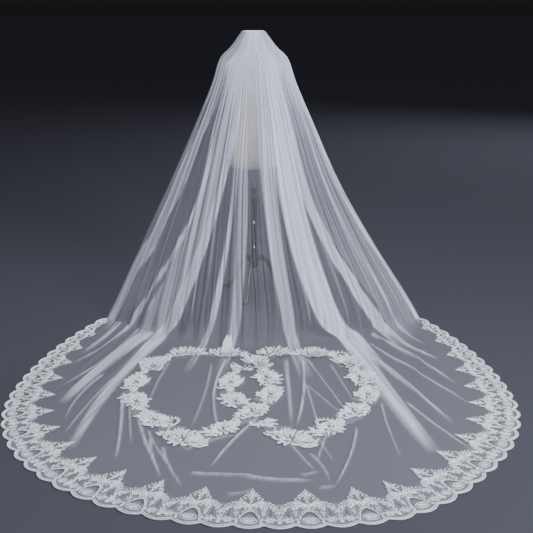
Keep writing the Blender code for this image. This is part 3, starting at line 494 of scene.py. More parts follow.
# %% [markdown]
# ## Making the sheet
# A grid is the right start for cloth: its rows and columns are the threads. It is made flat and then moved
# onto the folds. The tent and the train are two pieces so that each keeps a fine mesh, and both take their
# normals from the whole sheet, so that no line shows where they meet.

# %% Normals of the whole sheet
placed = in_room(cloth)
down = np.gradient(placed, axis=0)
right = np.gradient(placed, axis=1)
normals = np.cross(down, right)
normals /= np.maximum(np.linalg.norm(normals, axis=2, keepdims=True), 1e-12)
run_down = np.concatenate([[0], np.cumsum(np.linalg.norm(np.diff(placed, axis=0), axis=2).mean(axis=1))])
cut_across = (edges[column_fold] + column_step * np.diff(edges)[column_fold]) * CUT_WIDTH / 2
print(f"the cloth is {run_down[-1]:.2f} m long, {run_down[FOOT_ROW]:.2f} m of it in the tent")


# %% One piece of the sheet
def sheet_piece(name, first, last):
    """The rows of the sheet from first to last, as a grid moved onto the folds."""
    across, deep = cloth.shape[1] - 1, last - first
    grid = bmesh.new()
    bmesh.ops.create_grid(grid, x_segments=across, y_segments=deep, size=0.5)
    density = grid.verts.layers.float.new("layers")
    weave = grid.loops.layers.uv.new("cut")
    cells = {}
    for point in grid.verts:
        column = round((point.co.x + 0.5) * across)
        row = last - round((point.co.y + 0.5) * deep)
        cells[point] = (row, column)
        point.co = placed[row, column]
        point[density] = layers[row, column]
    for face in grid.faces:
        face.smooth = True
        for loop in face.loops:
            row, column = cells[loop.vert]
            loop[weave].uv = (cut_across[column], run_down[row])
    grid.verts.index_update()
    order = [cells[point] for point in grid.verts]
    mesh = bpy.data.meshes.new(name)
    grid.to_mesh(mesh)
    grid.free()
    mesh.normals_split_custom_set_from_vertices([tuple(normals[cell]) for cell in order])
    return place_piece(name, mesh)


def place_piece(name, mesh):
    """A finished piece in the scene, at the origin, moving with the whole part."""
    piece = bpy.data.objects.new(name, mesh)
    bpy.context.scene.collection.objects.link(piece)
    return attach(piece, "root")


veil_tent = sheet_piece("veil_tent", 0, FOOT_ROW)
veil_train = sheet_piece("veil_train", FOOT_ROW, len(cloth) - 1)
for piece in (veil_tent, veil_train):
    print(f"{piece.name}: {2 * len(piece.data.polygons)} triangles")

# %% [markdown]
# ## Lace on net
# Corded lace is embroidery on a fine net: leaves and petals are filled with satin stitch and outlined with
# a thicker cord. So each stretch of lace is made as two pieces, the net with its open gaps, and the
# stitching on it. The net is cut from the top of its solid, because its outline and gaps are right there.

# %% The net that the lace is worked on
TOP_FACING = 0.9


def net_under(node, name):
    """The upper face of a lace solid, as a thin sheet of net."""
    net = bmesh.new()
    net.from_mesh(nodes[node].data)
    bmesh.ops.remove_doubles(net, verts=net.verts, dist=1e-6)
    net.normal_update()
    rest = [face for face in net.faces if face.normal.z < TOP_FACING]
    bmesh.ops.delete(net, geom=rest, context="FACES")
    weave = net.loops.layers.uv.new("cut")
    for face in net.faces:
        for loop in face.loops:
            loop[weave].uv = loop.vert.co.xy
    mesh = bpy.data.meshes.new(name)
    net.to_mesh(mesh)
    net.free()
    piece = place_piece(name, mesh)
    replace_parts(piece, node)
    return piece


LACE_NODES = ["lace_border_left", "lace_border_back", "lace_border_right"]
HEART_NODES = ["heart_left", "heart_right_outer", "heart_right_inner"]
nets = {node: net_under(node, node + "_net") for node in LACE_NODES + HEART_NODES}
LACE_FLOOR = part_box("lace_border_back")[1].z
HEART_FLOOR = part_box("heart_left")[1].z
print(f"the stitching starts {LACE_FLOOR * 1000:.1f} mm above the floor")

# %% [markdown]
# ## One leaf of the stitching
# The same pointed leaf is stitched thousands of times, so it is modelled once. It starts as a disc, which is
# inset for its cord, its filling and its vein, and then drawn out to a point.

# %% The leaf
Shape = namedtuple("Shape", "points faces cover")
RIM_SIDES = 10
INSETS = (0.05, 0.09, 0.04)  # for the cord, the filling and the vein
POINTEDNESS = 0.45
WIDENED = 1.25  # makes up for the width that the point takes away


def stitched_leaf():
    """A leaf 1 long and 1 wide, with a raised cord round it, and how closely each part is stitched."""
    leaf = bmesh.new()
    bmesh.ops.create_circle(leaf, cap_ends=True, segments=RIM_SIDES, radius=0.5)
    disc = leaf.faces[:]
    for thickness in INSETS:
        bmesh.ops.inset_region(leaf, faces=disc, thickness=thickness, use_boundary=True, use_even_offset=True)
    bmesh.ops.poke(leaf, faces=disc)
    leaf.verts.index_update()
    flat = np.array([point.co for point in leaf.verts])
    from_middle = 2 * np.linalg.norm(flat[:, :2], axis=1)
    along = flat[:, 0] + 0.5
    across = flat[:, 1] * np.maximum(1 - along, 0) ** POINTEDNESS * WIDENED
    height = np.interp(from_middle, (0, 0.60, 0.66, 0.74, 0.90, 1.0), (0.6, 0.30, 0.35, 0.9, 1.0, 0.0))
    cover = np.interp(from_middle, (0, 0.66, 0.72, 1.0), (0.16, 0.20, 1.0, 1.0))
    faces = [[point.index for point in face.verts] for face in leaf.faces]
    leaf.free()
    return Shape(np.column_stack([along, across, height]), faces, cover)


LEAF = stitched_leaf()
print(f"a leaf has {len(LEAF.points)} points and {len(LEAF.faces)} faces")


# %% Many stitched shapes as one piece
SHORTEST_LEAF = 0.002
LACE_LEAF_HEIGHT = 0.0022
CORD_SINKS = 0.7  # a cord's middle lies this many of its radii above the net


class Stitching:
    """Leaves and cords laid on the floor, gathered as arrays and joined into one mesh at the end."""

    def __init__(self, floor, openness=1.0):
        self.floor = floor
        self.leaf_cover = 1 - openness * (1 - LEAF.cover)
        self.points, self.faces, self.cover, self.thread = [], [], [], []
        self.count = 0

    def add(self, points, faces, cover, thread):
        self.points.append(points)
        self.faces += [[corner + self.count for corner in face] for face in faces]
        self.cover.append(cover)
        self.thread.append(thread)
        self.count += len(points)

    def leaf(self, base, tip, width, height=LACE_LEAF_HEIGHT, bow=0.0, lift=0.0):
        """A leaf from its base to its tip, bowed to one side, with its tip lifted off the cloth."""
        base, tip = np.asarray(base), np.asarray(tip)
        length = float(np.linalg.norm(tip - base))
        if length < SHORTEST_LEAF:
            return
        way = (tip - base) / length
        aside = np.array([way[1], -way[0]])
        along, across, rise = LEAF.points.T
        sway = across * width + bow * length * 4 * along * (1 - along)
        flat = base + np.outer(along * length, way) + np.outer(sway, aside)
        z = self.floor + rise * height + lift * along**2 + relief(flat[:, 0], flat[:, 1])
        thread = np.column_stack([along * length, across * width])
        self.add(set_down(flat, z), LEAF.faces, self.leaf_cover, thread)

    def cord(self, line, radius, closed=False, sides=6):
        """A cord laid along a line of floor places, closed at its ends."""
        line = np.asarray(line, float)
        count = len(line)
        ahead = np.roll(line, -1, axis=0) if closed else np.vstack([line[1:], line[-1:]])
        behind = np.roll(line, 1, axis=0) if closed else np.vstack([line[:1], line[:-1]])
        way = ahead - behind
        way /= np.maximum(np.linalg.norm(way, axis=1, keepdims=True), 1e-9)
        aside = np.column_stack([way[:, 1], -way[:, 0]])
        angles = 2 * math.pi * np.arange(sides) / sides
        flat = line[:, None] + aside[:, None] * (radius * np.cos(angles))[None, :, None]
        middle_z = self.floor + CORD_SINKS * radius + relief(line[:, 0], line[:, 1])
        z = middle_z[:, None] + radius * np.sin(angles)
        run = np.concatenate([[0], np.cumsum(np.linalg.norm(np.diff(line, axis=0), axis=1))])
        thread = np.stack(np.broadcast_arrays(run[:, None], radius * angles), axis=-1).reshape(-1, 2)
        faces = []
        for i in range(count if closed else count - 1):
            near, far = i * sides, (i + 1) % count * sides
            for a in range(sides):
                b = (a + 1) % sides
                faces.append([near + a, near + b, far + b, far + a])
        if not closed:
            faces.append(list(reversed(range(sides))))
            faces.append(list(range((count - 1) * sides, count * sides)))
        self.add(set_down(flat, z).reshape(-1, 3), faces, np.ones(count * sides), thread)

    def piece(self, name):
        """Everything so far, as one object."""
        mesh = bpy.data.meshes.new(name)
        mesh.from_pydata(in_room(np.concatenate(self.points)).tolist(), [], self.faces)
        mesh.shade_smooth()
        cover = mesh.attributes.new("cover", "FLOAT", "POINT")
        cover.data.foreach_set("value", np.concatenate(self.cover).astype(np.float32))
        corners = np.empty(len(mesh.loops), np.int32)
        mesh.loops.foreach_get("vertex_index", corners)
        weave = mesh.uv_layers.new(name="cut")
        weave.data.foreach_set("uv", np.concatenate(self.thread)[corners].astype(np.float32).ravel())
        return place_piece(name, mesh)


# %% [markdown]
# ## The lace border
# One repeat of the border is two scallops. Over the first stands a palmette: a bud, paired petals and two
# large lower ones, on an arch with a rosette below it. Over the second stand a small sprig and two round
# flowers. Half of a repeat is listed here, because the other half is its mirror image.

# %% The leaves of half a repeat
PALMETTE_PHASE = 0.25
Leaf = namedtuple("Leaf", "across depth to_across to_depth width bow")
MIDDLE_LEAVES = [
    Leaf(0.000, 0.850, 0.000, 1.000, 0.060, 0.00),
    Leaf(0.000, 0.640, 0.000, 0.840, 0.040, 0.00),
    Leaf(0.000, 0.450, 0.000, 0.640, 0.055, 0.00),
]
HALF_LEAVES = [
    Leaf(0.005, 0.840, 0.060, 0.935, 0.046, 0.16),
    Leaf(0.010, 0.790, 0.112, 0.880, 0.048, 0.16),
    Leaf(0.020, 0.780, 0.055, 0.700, 0.030, -0.10),
    Leaf(0.040, 0.810, 0.155, 0.800, 0.046, 0.14),
    Leaf(0.105, 0.720, 0.178, 0.765, 0.036, 0.10),
    Leaf(0.025, 0.560, 0.215, 0.745, 0.060, -0.18),
    Leaf(0.100, 0.600, 0.245, 0.655, 0.050, -0.12),
    Leaf(0.015, 0.540, 0.235, 0.590, 0.060, -0.10),
    Leaf(0.008, 0.560, 0.105, 0.420, 0.085, 0.14),
    Leaf(0.085, 0.530, 0.205, 0.470, 0.060, 0.12),
    Leaf(0.170, 0.500, 0.262, 0.530, 0.044, 0.10),
    Leaf(0.205, 0.430, 0.262, 0.620, 0.044, 0.20),
    Leaf(0.265, 0.420, 0.310, 0.640, 0.050, 0.22),
    Leaf(0.290, 0.460, 0.372, 0.610, 0.046, 0.22),
    Leaf(0.340, 0.470, 0.430, 0.560, 0.046, 0.22),
    Leaf(0.395, 0.450, 0.480, 0.500, 0.046, 0.18),
    Leaf(0.215, 0.300, 0.300, 0.430, 0.050, 0.16),
    Leaf(0.225, 0.240, 0.285, 0.330, 0.038, 0.12),
    Leaf(0.445, 0.300, 0.395, 0.440, 0.050, -0.16),
    Leaf(0.400, 0.380, 0.350, 0.470, 0.036, -0.12),
    Leaf(0.488, 0.330, 0.448, 0.455, 0.036, -0.12),
    Leaf(0.497, 0.060, 0.440, 0.250, 0.036, -0.10),
    Leaf(0.490, 0.050, 0.408, 0.170, 0.034, -0.10),
    Leaf(0.190, 0.060, 0.245, 0.165, 0.040, 0.10),
    Leaf(0.205, 0.050, 0.205, 0.190, 0.034, 0.00),
]
SPRIG_LEAF = Leaf(0.500, 0.040, 0.500, 0.330, 0.046, 0.00)
FULL_DEPTH = 0.16
LEAF_CURL = 0.0022


def lace_places(repeat, across, depth):
    """Places in the border, across in repeats from the palmette's middle and depth from the hem."""
    s = (repeat + PALMETTE_PHASE + np.asarray(across)) * PITCH
    inside = np.clip(s, 0, HEM_LENGTH)
    return hem_point(inside, np.asarray(depth) * border_depth(inside)), bool(np.all(s == inside))


def grown(repeat):
    """Leaves are narrower where the border is."""
    s = np.clip((repeat + PALMETTE_PHASE) * PITCH, 0, HEM_LENGTH)
    return float(np.clip(border_depth(s) / FULL_DEPTH, 0.45, 1.0))


def stitch_leaf(lace, repeat, leaf, side):
    """One listed leaf, on one side of its palmette."""
    ends, whole = lace_places(
        repeat, [side * leaf.across, side * leaf.to_across], [leaf.depth, leaf.to_depth]
    )
    if whole:
        width = leaf.width * PITCH * grown(repeat)
        lace.leaf(ends[0], ends[1], width, bow=leaf.bow * side, lift=LEAF_CURL)


print(f"{len(MIDDLE_LEAVES) + 2 * len(HALF_LEAVES) + 1} leaves in a repeat, besides the arch and the flowers")

# %% Flowers, arches and cords
FlowerPlace = namedtuple("FlowerPlace", "across depth radius petals")
FLOWERS = [FlowerPlace(0.345, 0.130, 0.0215, 6), FlowerPlace(-0.345, 0.130, 0.0215, 6)]
PETAL_STARTS = 0.30  # these are parts of a flower's radius
PETAL_WIDTH = 2.99
FLOWER_RING = 0.26
FLOWER_RING_POINTS = 8
FLOWER_RING_CORD = 0.8
CORD = 0.0013
ARCH_HALF = 0.180
ARCH_FOOT = 0.13
ARCH_HEIGHT = 0.25
ARCH_ROUNDNESS = 0.8
ARCH_POINTS = 17
ARCH_LEAF = 0.040
ARCH_LEAF_REACH = 0.075
ARCH_LEAVES_SPREAD = 1.06
ROSETTE = FlowerPlace(0.0, 0.115, 0.0230, 8)
ROSETTE_SQUASH = 0.72
ROSETTE_SPAN = 0.02  # the hem's direction is taken over this much of a repeat
OVAL_RADIUS = 0.0285
OVAL_SQUASH = 0.66
OVAL_POINTS = 20


def circle_of(middle, radius, count, squash=1.0, way=(1.0, 0.0)):
    """Places round a middle, flattened across the way given."""
    angles = 2 * math.pi * np.arange(count) / count
    way = np.asarray(way) / np.linalg.norm(way)
    aside = np.array([-way[1], way[0]])
    return middle + np.outer(radius * np.cos(angles), way) + np.outer(radius * squash * np.sin(angles), aside)


def stitch_flower(lace, middle, radius, petals, squash=1.0, way=(1.0, 0.0)):
    """Petals round a corded ring."""
    tips = circle_of(middle, radius, petals, squash, way)
    bases = circle_of(middle, radius * PETAL_STARTS, petals, squash, way)
    for base, tip in zip(bases, tips):
        lace.leaf(base, tip, radius * PETAL_WIDTH / petals, lift=LEAF_CURL)
    ring = circle_of(middle, radius * FLOWER_RING, FLOWER_RING_POINTS, squash, way)
    lace.cord(ring, CORD * FLOWER_RING_CORD, closed=True, sides=5)


def stitch_arch(lace, repeat):
    """A corded arch over the rosette, edged with small leaves."""
    across = np.linspace(-ARCH_HALF, ARCH_HALF, ARCH_POINTS)
    arch = ARCH_FOOT + ARCH_HEIGHT * np.cos(across / ARCH_HALF * math.pi / 2) ** ARCH_ROUNDNESS
    line, whole = lace_places(repeat, across, arch)
    if not whole:
        return
    lace.cord(line, CORD)
    outer, _ = lace_places(repeat, across * ARCH_LEAVES_SPREAD, arch + ARCH_LEAF_REACH)
    for i in range(1, ARCH_POINTS - 1, 2):
        lace.leaf(line[i], outer[i], PITCH * ARCH_LEAF * grown(repeat), lift=LEAF_CURL)


def stitch_repeat(lace, repeat):
    """Everything in one repeat of the border except its edge cords."""
    for leaf in MIDDLE_LEAVES:
        stitch_leaf(lace, repeat, leaf, 1)
    for leaf in HALF_LEAVES:
        stitch_leaf(lace, repeat, leaf, 1)
        stitch_leaf(lace, repeat, leaf, -1)
    stitch_leaf(lace, repeat, SPRIG_LEAF, 1)
    stitch_arch(lace, repeat)
    size = grown(repeat)
    ends, whole = lace_places(repeat, [-ROSETTE_SPAN, ROSETTE_SPAN], [ROSETTE.depth] * 2)
    if whole:
        way = ends[1] - ends[0]
        centre = ends.mean(axis=0)
        radius = ROSETTE.radius * size
        stitch_flower(lace, centre, radius, ROSETTE.petals, ROSETTE_SQUASH, way)
        oval = circle_of(centre, OVAL_RADIUS * size, OVAL_POINTS, OVAL_SQUASH, way)
        lace.cord(oval, CORD, closed=True)
    for flower in FLOWERS:
        centres, whole = lace_places(repeat, [flower.across] * 2, [flower.depth] * 2)
        if whole:
            stitch_flower(lace, centres[0], flower.radius * size, flower.petals)


print(f"{len(FLOWERS)} flowers and a rosette of {ROSETTE.petals} petals in a repeat")

# %% The corded edge
EDGE_CORDS = [(0.0022, 0.0020), (0.0145, 0.0013)]  # how far in from the edge, and the radius
POINTS_PER_SCALLOP = 14
BARS_PER_REPEAT = 22
FIRST_BAR = 0.0050
BAR_FROM, BAR_TO = 0.013, 0.001  # inwards from the edge
BAR_SLANT = 0.004
BAR_WIDTH = 0.0034


def stitch_edge(lace, start, end):
    """Two cords that follow the scallops, and the little bars between them."""
    count = max(3, round((end - start) / PITCH * 2 * POINTS_PER_SCALLOP))
    s = np.linspace(start, end, count)
    for inward, radius in EDGE_CORDS:
        lace.cord(hem_point(s, inward - scallop_rise(s)), radius)
    for at in np.arange(start + FIRST_BAR, end - FIRST_BAR, PITCH / BARS_PER_REPEAT):
        rise = scallop_rise(at)
        lace.leaf(hem_point(at, BAR_FROM - rise), hem_point(at + BAR_SLANT, BAR_TO - rise), BAR_WIDTH)


print(f"{len(EDGE_CORDS)} cords along the edge, {BARS_PER_REPEAT} bars in a repeat")

# %% Stitch the three stretches of the border
borders = {}
for i, node in enumerate(LACE_NODES):
    lace = Stitching(LACE_FLOOR)
    first, last = REPEATS // 3 * i, REPEATS // 3 * (i + 1)
    for repeat in range(first, last):
        stitch_repeat(lace, repeat)
    stitch_edge(lace, first * PITCH, last * PITCH)
    borders[node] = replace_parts(lace.piece(node + "_stitching"), node)
    print(f"{node}: {sum(len(face) - 2 for face in lace.faces)} triangles of stitching")

# %% [markdown]
# ## The two hearts
# The hearts are worked from one leafy motif that repeats twelve times round each: a dense cluster of leaves,
# and a corded stem with four small leaves that leads on to the next. The leaves of a cluster are set like
# seeds in a sunflower, which fills any outline evenly, and all point outwards with some sway. No two clusters
# of a heart have the same outline. They are thicker than the border, and the tips of their leaves curl up.

# %% The line of a heart
HEART_WIDTH = 0.626
HEART_LENGTH = 1.030
HEART_TOP = 1.050
HEART_CENTRES = (-0.2205, 0.221)
HEART_STEP = 0.006
HEART_CURVE = 12  # steps on each stretch of the line
CLUSTERS = 12
HeartPoint = namedtuple("HeartPoint", "across along")
HEART_HALF = [
    HeartPoint(0.00, 0.030),
    HeartPoint(0.30, 0.003),
    HeartPoint(0.60, 0.060),
    HeartPoint(0.88, 0.200),
    HeartPoint(1.00, 0.430),
    HeartPoint(0.93, 0.610),
    HeartPoint(0.72, 0.735),
    HeartPoint(0.38, 0.870),
    HeartPoint(0.00, 1.000),
]


class HeartLine:
    """The middle line of a heart by distance from the dip at its top, clockwise seen from above."""

    def __init__(self, centre):
        half_line = smooth_through(np.array(HEART_HALF), [HEART_CURVE] * (len(HEART_HALF) - 1))
        right_side = half_line * (HEART_WIDTH / 2, HEART_LENGTH)
        left_side = (right_side * (-1, 1))[::-1]
        self.centre = centre
        self.line = np.vstack([right_side, left_side[1:]]) + (centre, HEART_TOP)
        steps = np.linalg.norm(np.diff(self.line, axis=0), axis=1)
        self.run = np.concatenate([[0], np.cumsum(steps)])
        self.length = float(self.run[-1])

    def at(self, s):
        return along_line(self.run, self.line, np.mod(s, self.length))

    def beside(self, s, out):
        """A place this far outside the line."""
        s = np.asarray(s, float)
        way = self.at(s + HEART_STEP) - self.at(s - HEART_STEP)
        way /= np.linalg.norm(way, axis=-1, keepdims=True)
        return self.at(s) + np.asarray(out)[..., None] * np.stack([way[..., 1], -way[..., 0]], axis=-1)


left_heart, right_heart = (HeartLine(centre) for centre in HEART_CENTRES)
print(f"a heart is {left_heart.length:.2f} m round, with a cluster every "
      f"{left_heart.length / CLUSTERS:.3f} m")

# %% One cluster of a heart
CLUSTER_LEAVES = 78
GOLDEN_ANGLE = math.pi * (3 - math.sqrt(5))
CLUSTER_AT = 0.46
TIP_PULL = 0.20  # near the point the clusters sit this part of a spacing further back along the line
TIP_CLUSTER = 6
CLUSTER_HALF_LENGTH = 0.088
CLUSTER_HALF_WIDTH = 0.047
TIP_HALF_LENGTH = 0.078
TIP_HALF_WIDTH = 0.056
CLUSTER_SIZES = (1.00, 0.90, 1.08, 0.96)
SIDE_SHIFT = 0.006
TIP_SHIFT = 0.018
Lobe = namedtuple("Lobe", "count turn depth")
LOBES = [Lobe(3, 2.1, 0.16), Lobe(5, -1.3, 0.14)]  # they turn from cluster to cluster
LEAF_LENGTH = 0.0245
LEAF_WIDTH = 0.0112
LEAF_SWAY = 1.10
LEAF_FLOW = 0.55  # how much every leaf also leans along the heart
LENGTH_SPREAD = 0.35
LEAF_BOW = 0.2
SWAY_STEP, LENGTH_STEP, BOW_STEP = 2.3, 1.7, 3.1  # radians from leaf to leaf, so that no two are alike
LEAF_HEIGHT = 0.0036
EDGE_LIFT = 0.003
MIDDLE_LIFT = 0.009
TOP_CLUSTERS = (-1, 0, 1, 10, 11)
TOP_PUFF = 3.0  # those that lie against the foot of the tent stand up
LinkLeaf = namedtuple("LinkLeaf", "along reach to_along to_reach")
LINK_WIDTH = 0.0105
LINK_LIFT = 0.004
LINK_LEAVES = [
    LinkLeaf(0.84, 0.002, 0.90, 0.022),
    LinkLeaf(0.87, -0.002, 0.94, -0.020),
    LinkLeaf(0.93, 0.002, 1.00, 0.020),
    LinkLeaf(0.96, -0.002, 1.04, -0.018),
]
STEM_CORD = 0.0024
STEM_FROM, STEM_TO = 0.74, 1.16


def cluster_middle(heart, number):
    """Where a cluster lies: how far along the heart and how far beside its line."""
    at = number + CLUSTER_AT
    at -= TIP_PULL * math.sin(math.pi * at / CLUSTERS) ** 2
    shift = TIP_SHIFT if number == TIP_CLUSTER else SIDE_SHIFT * (1 if number % 2 else -1)
    return np.array([at * heart.length / CLUSTERS, shift])


def cluster_leaf(heart, number, i):
    """The two ends of a leaf in a cluster, set like seeds in a sunflower and pointing outwards."""
    part = math.sqrt((i + 0.5) / CLUSTER_LEAVES)
    angle = i * GOLDEN_ANGLE
    lobes = 1 + sum(lobe.depth * math.sin(lobe.count * angle + lobe.turn * number) for lobe in LOBES)
    size = part * lobes * CLUSTER_SIZES[number % len(CLUSTER_SIZES)]
    at_tip = number == TIP_CLUSTER
    half_length = TIP_HALF_LENGTH if at_tip else CLUSTER_HALF_LENGTH
    half_width = TIP_HALF_WIDTH if at_tip else CLUSTER_HALF_WIDTH
    place = size * np.array([half_length * math.cos(angle), half_width * math.sin(angle)])
    base = cluster_middle(heart, number) + place
    heading = math.atan2(math.sin(angle), math.cos(angle) + LEAF_FLOW)
    heading += LEAF_SWAY * part * math.sin(SWAY_STEP * i + number)
    length = LEAF_LENGTH * (1 + LENGTH_SPREAD * math.sin(LENGTH_STEP * i + number))
    tip = base + length * np.array([math.cos(heading), math.sin(heading)])
    return base, tip, part


def stitch_cluster(lace, heart, number, start, end):
    """A cluster of leaves and the stem to the next, as far as this arc of the heart runs."""
    first, last = start * heart.length / CLUSTERS, end * heart.length / CLUSTERS
    puff = TOP_PUFF if number in TOP_CLUSTERS else 1.0
    for i in range(CLUSTER_LEAVES):
        base, tip, part = cluster_leaf(heart, number, i)
        if first <= min(base[0], tip[0]) and max(base[0], tip[0]) <= last:
            ends = heart.beside(np.array([base[0], tip[0]]), np.array([base[1], tip[1]]))
            lift = puff * (MIDDLE_LIFT + (EDGE_LIFT - MIDDLE_LIFT) * part)
            bow = LEAF_BOW * math.sin(BOW_STEP * i)
            lace.leaf(ends[0], ends[1], LEAF_WIDTH, LEAF_HEIGHT, bow, lift)
    for leaf in LINK_LEAVES:
        if start <= number + leaf.along and number + leaf.to_along <= end:
            along = (number + np.array([leaf.along, leaf.to_along])) * heart.length / CLUSTERS
            ends = heart.beside(along, np.array([leaf.reach, leaf.to_reach]))
            lace.leaf(ends[0], ends[1], LINK_WIDTH, LEAF_HEIGHT, lift=LINK_LIFT)
    stem_start, stem_end = max(start, number + STEM_FROM), min(end, number + STEM_TO)
    if stem_end > stem_start:
        stem = np.linspace(stem_start, stem_end, 7)
        lace.cord(heart.beside(stem * heart.length / CLUSTERS, 0 * stem), STEM_CORD)


print(f"{CLUSTER_LEAVES} leaves in a cluster")


# %% Ferns beside the clusters, and the spire
Fern = namedtuple("Fern", "node at side reach half_length")
FERNS = [
    Fern("heart_left", 10.55, 1, 0.072, 0.048),
    Fern("heart_left", 7.00, -1, 0.072, 0.044),
    Fern("heart_right_outer", 1.00, 1, 0.072, 0.048),
    Fern("heart_right_outer", 5.10, -1, 0.072, 0.044),
]
FERN_LEAVES = 11
FERN_LEAF = 0.013
FERN_LEAF_WIDTH = 0.0075
FERN_LIFT = 0.006
FERN_ENDS = (0.05, 0.95)
FERN_CORDS = (1.0, 0.55)  # parts of its reach
SPIRE_AT = 0.43
SPIRE_REACH = 0.150
SPIRE_STEP = 0.011
SPIRE_SPREAD = 0.016
SPIRE_TAPER = 1.2
SPIRE_LEAF = 0.020
SPIRE_LEAF_WIDTH = 0.0110
SPIRE_LIFT = 0.009
SPIRE_FLAT = 0.06  # from here outwards it climbs
SPIRE_CLIMB = 0.35


def stitch_fern(lace, heart, fern):
    """A curled frond: two arched cords, with short leaves fanned along the outer one."""
    turn = np.linspace(*FERN_ENDS, FERN_LEAVES) * math.pi
    s = fern.at * heart.length / CLUSTERS - fern.half_length * np.cos(turn)
    for spread in FERN_CORDS:
        lace.cord(heart.beside(s, fern.side * fern.reach * spread * np.sin(turn)), STEM_CORD)
    bases = heart.beside(s, fern.side * (fern.reach * np.sin(turn)))
    tips = heart.beside(
        s - FERN_LEAF * np.cos(turn), fern.side * (fern.reach + FERN_LEAF) * np.sin(turn)
    )
    for base, tip in zip(bases, tips):
        lace.leaf(base, tip, FERN_LEAF_WIDTH, LEAF_HEIGHT, lift=FERN_LIFT)


def stitch_spire(lace, heart):
    """The sprig that points away from the left heart, at its dip, and climbs the foot of the tent."""
    s = SPIRE_AT * heart.length / CLUSTERS
    for out in np.arange(0.0, SPIRE_REACH, SPIRE_STEP):
        for side in (-1, 1):
            spread = SPIRE_SPREAD * (SPIRE_TAPER - out / SPIRE_REACH)
            ends = heart.beside([s, s + side * spread], np.array([out, out + SPIRE_LEAF]))
            climb = SPIRE_CLIMB * max(0.0, out - SPIRE_FLAT)
            lace.leaf(ends[0], ends[1], SPIRE_LEAF_WIDTH, LEAF_HEIGHT + climb, lift=SPIRE_LIFT)


print(f"{len(FERNS)} ferns and one spire")

# %% Stitch the hearts, one whole and the other broken where they cross
HEART_ARCS = {
    "heart_left": (left_heart, 0, CLUSTERS),
    "heart_right_outer": (right_heart, -0.86, 7.20),
    "heart_right_inner": (right_heart, 8.00, 10.32),
}
HEART_OPENNESS = 0.6
for node, (heart, start, end) in HEART_ARCS.items():
    lace = Stitching(HEART_FLOOR, HEART_OPENNESS)
    for number in range(math.floor(start), math.ceil(end)):
        stitch_cluster(lace, heart, number, start, end)
    for fern in FERNS:
        if fern.node == node:
            stitch_fern(lace, heart, fern)
    if heart is left_heart:
        stitch_spire(lace, heart)
    borders[node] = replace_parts(lace.piece(node + "_stitching"), node)
    print(f"{node}: {sum(len(face) - 2 for face in lace.faces)} triangles of stitching")

# %% [markdown]
# ## The dress form and the gathered band
# The form is padded and covered in knitted jersey, so it has no corners. Its solid has a few rings, and a
# subdivision surface over a copy of it rounds them. The band is a strip of tulle over the gathers.

# %% The covered form
SHARP_EDGE = math.radians(50)
RIM_CREASE = 0.9
ROUNDING = 2  # levels of the subdivision surface
JOIN_FACES, JOIN_SHAPES = 0.7, 1.6  # radians that two triangles may differ by to become one face


def smooth_cover(node, name):
    """A merged copy of a solid under a subdivision surface, with its rims kept sharp."""
    cover = bmesh.new()
    cover.from_mesh(nodes[node].data)
    bmesh.ops.remove_doubles(cover, verts=cover.verts, dist=1e-6)
    bmesh.ops.join_triangles(
        cover, faces=cover.faces, angle_face_threshold=JOIN_FACES, angle_shape_threshold=JOIN_SHAPES
    )
    cover.normal_update()
    crease = cover.edges.layers.float.new("crease_edge")
    for edge in cover.edges:
        if len(edge.link_faces) == 2 and edge.calc_face_angle() > SHARP_EDGE:
            edge[crease] = RIM_CREASE
    for face in cover.faces:
        face.smooth = True
    mesh = bpy.data.meshes.new(name)
    cover.to_mesh(mesh)
    cover.free()
    piece = place_piece(name, mesh)
    rounding = piece.modifiers.new("rounding", "SUBSURF")
    rounding.levels = ROUNDING
    rounding.render_levels = ROUNDING
    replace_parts(piece, node)
    return piece


form_cover = smooth_cover("form_torso", "form_cover")
gathers = smooth_cover("gather_band", "gather_band_tulle")
print("the form's cover and the band are rounded")

# %% [markdown]
# ## Finishes
# Each finish is a Principled shader with its own pattern. Colours are written as sRGB hex values, as on a
# shade card, and turned to linear light by one function. Another adds a node with its settings and links.


# %% Helpers for materials
def linear(hex_colour):
    """An sRGB colour such as F4F4F8 as linear red, green and blue with full alpha."""
    parts = [int(hex_colour[i : i + 2], 16) / 255 for i in (0, 2, 4)]
    return [c / 12.92 if c <= 0.04045 else ((c + 0.055) / 1.055) ** 2.4 for c in parts] + [1.0]


def add_node(material, kind, values=None, links=None, **settings):
    """Adds a node with its settings, the values of its inputs and the outputs that feed them."""
    made = material.node_tree.nodes.new(kind)
    for name, value in settings.items():
        setattr(made, name, value)
    for socket, value in (values or {}).items():
        made.inputs[socket].default_value = value
    for socket, source in (links or {}).items():
        material.node_tree.links.new(source, made.inputs[socket])
    return made


def finish_of(name, colour, roughness, **values):
    """A material with these values on its own shader."""
    made = bpy.data.materials.new(name)
    made.use_nodes = True
    shader = made.node_tree.nodes["Principled BSDF"]
    shader.inputs["Base Color"].default_value = linear(colour)
    shader.inputs["Roughness"].default_value = roughness
    for socket, value in values.items():
        shader.inputs[socket.replace("_", " ")].default_value = value
    return made


def feed(material, socket, source):
    """Links an output to an input of the material's shader."""
    material.node_tree.links.new(source, material.node_tree.nodes["Principled BSDF"].inputs[socket])


def wear(piece, material):
    """Gives a piece one material in its first slot."""
    if piece.data.materials:
        piece.data.materials[0] = material
    else:
        piece.data.materials.append(material)


print(f"a mid grey of 808080 is {linear('808080')[0]:.3f} in linear light")

# %% [markdown]
# ### Nylon tulle
# Bridal tulle is a hexagonal net of fine nylon, about 1.6 mm from hole to hole. One layer hides about a
# sixth of what is behind it, and each further layer hides a sixth of what is left, so opacity is one minus
# a power of the layers. The net is drawn at 5 mm, the finest that shows. Threads lie closer along the
# gathers, so the power is streaked along the cloth, with streaks about 24 mm wide.

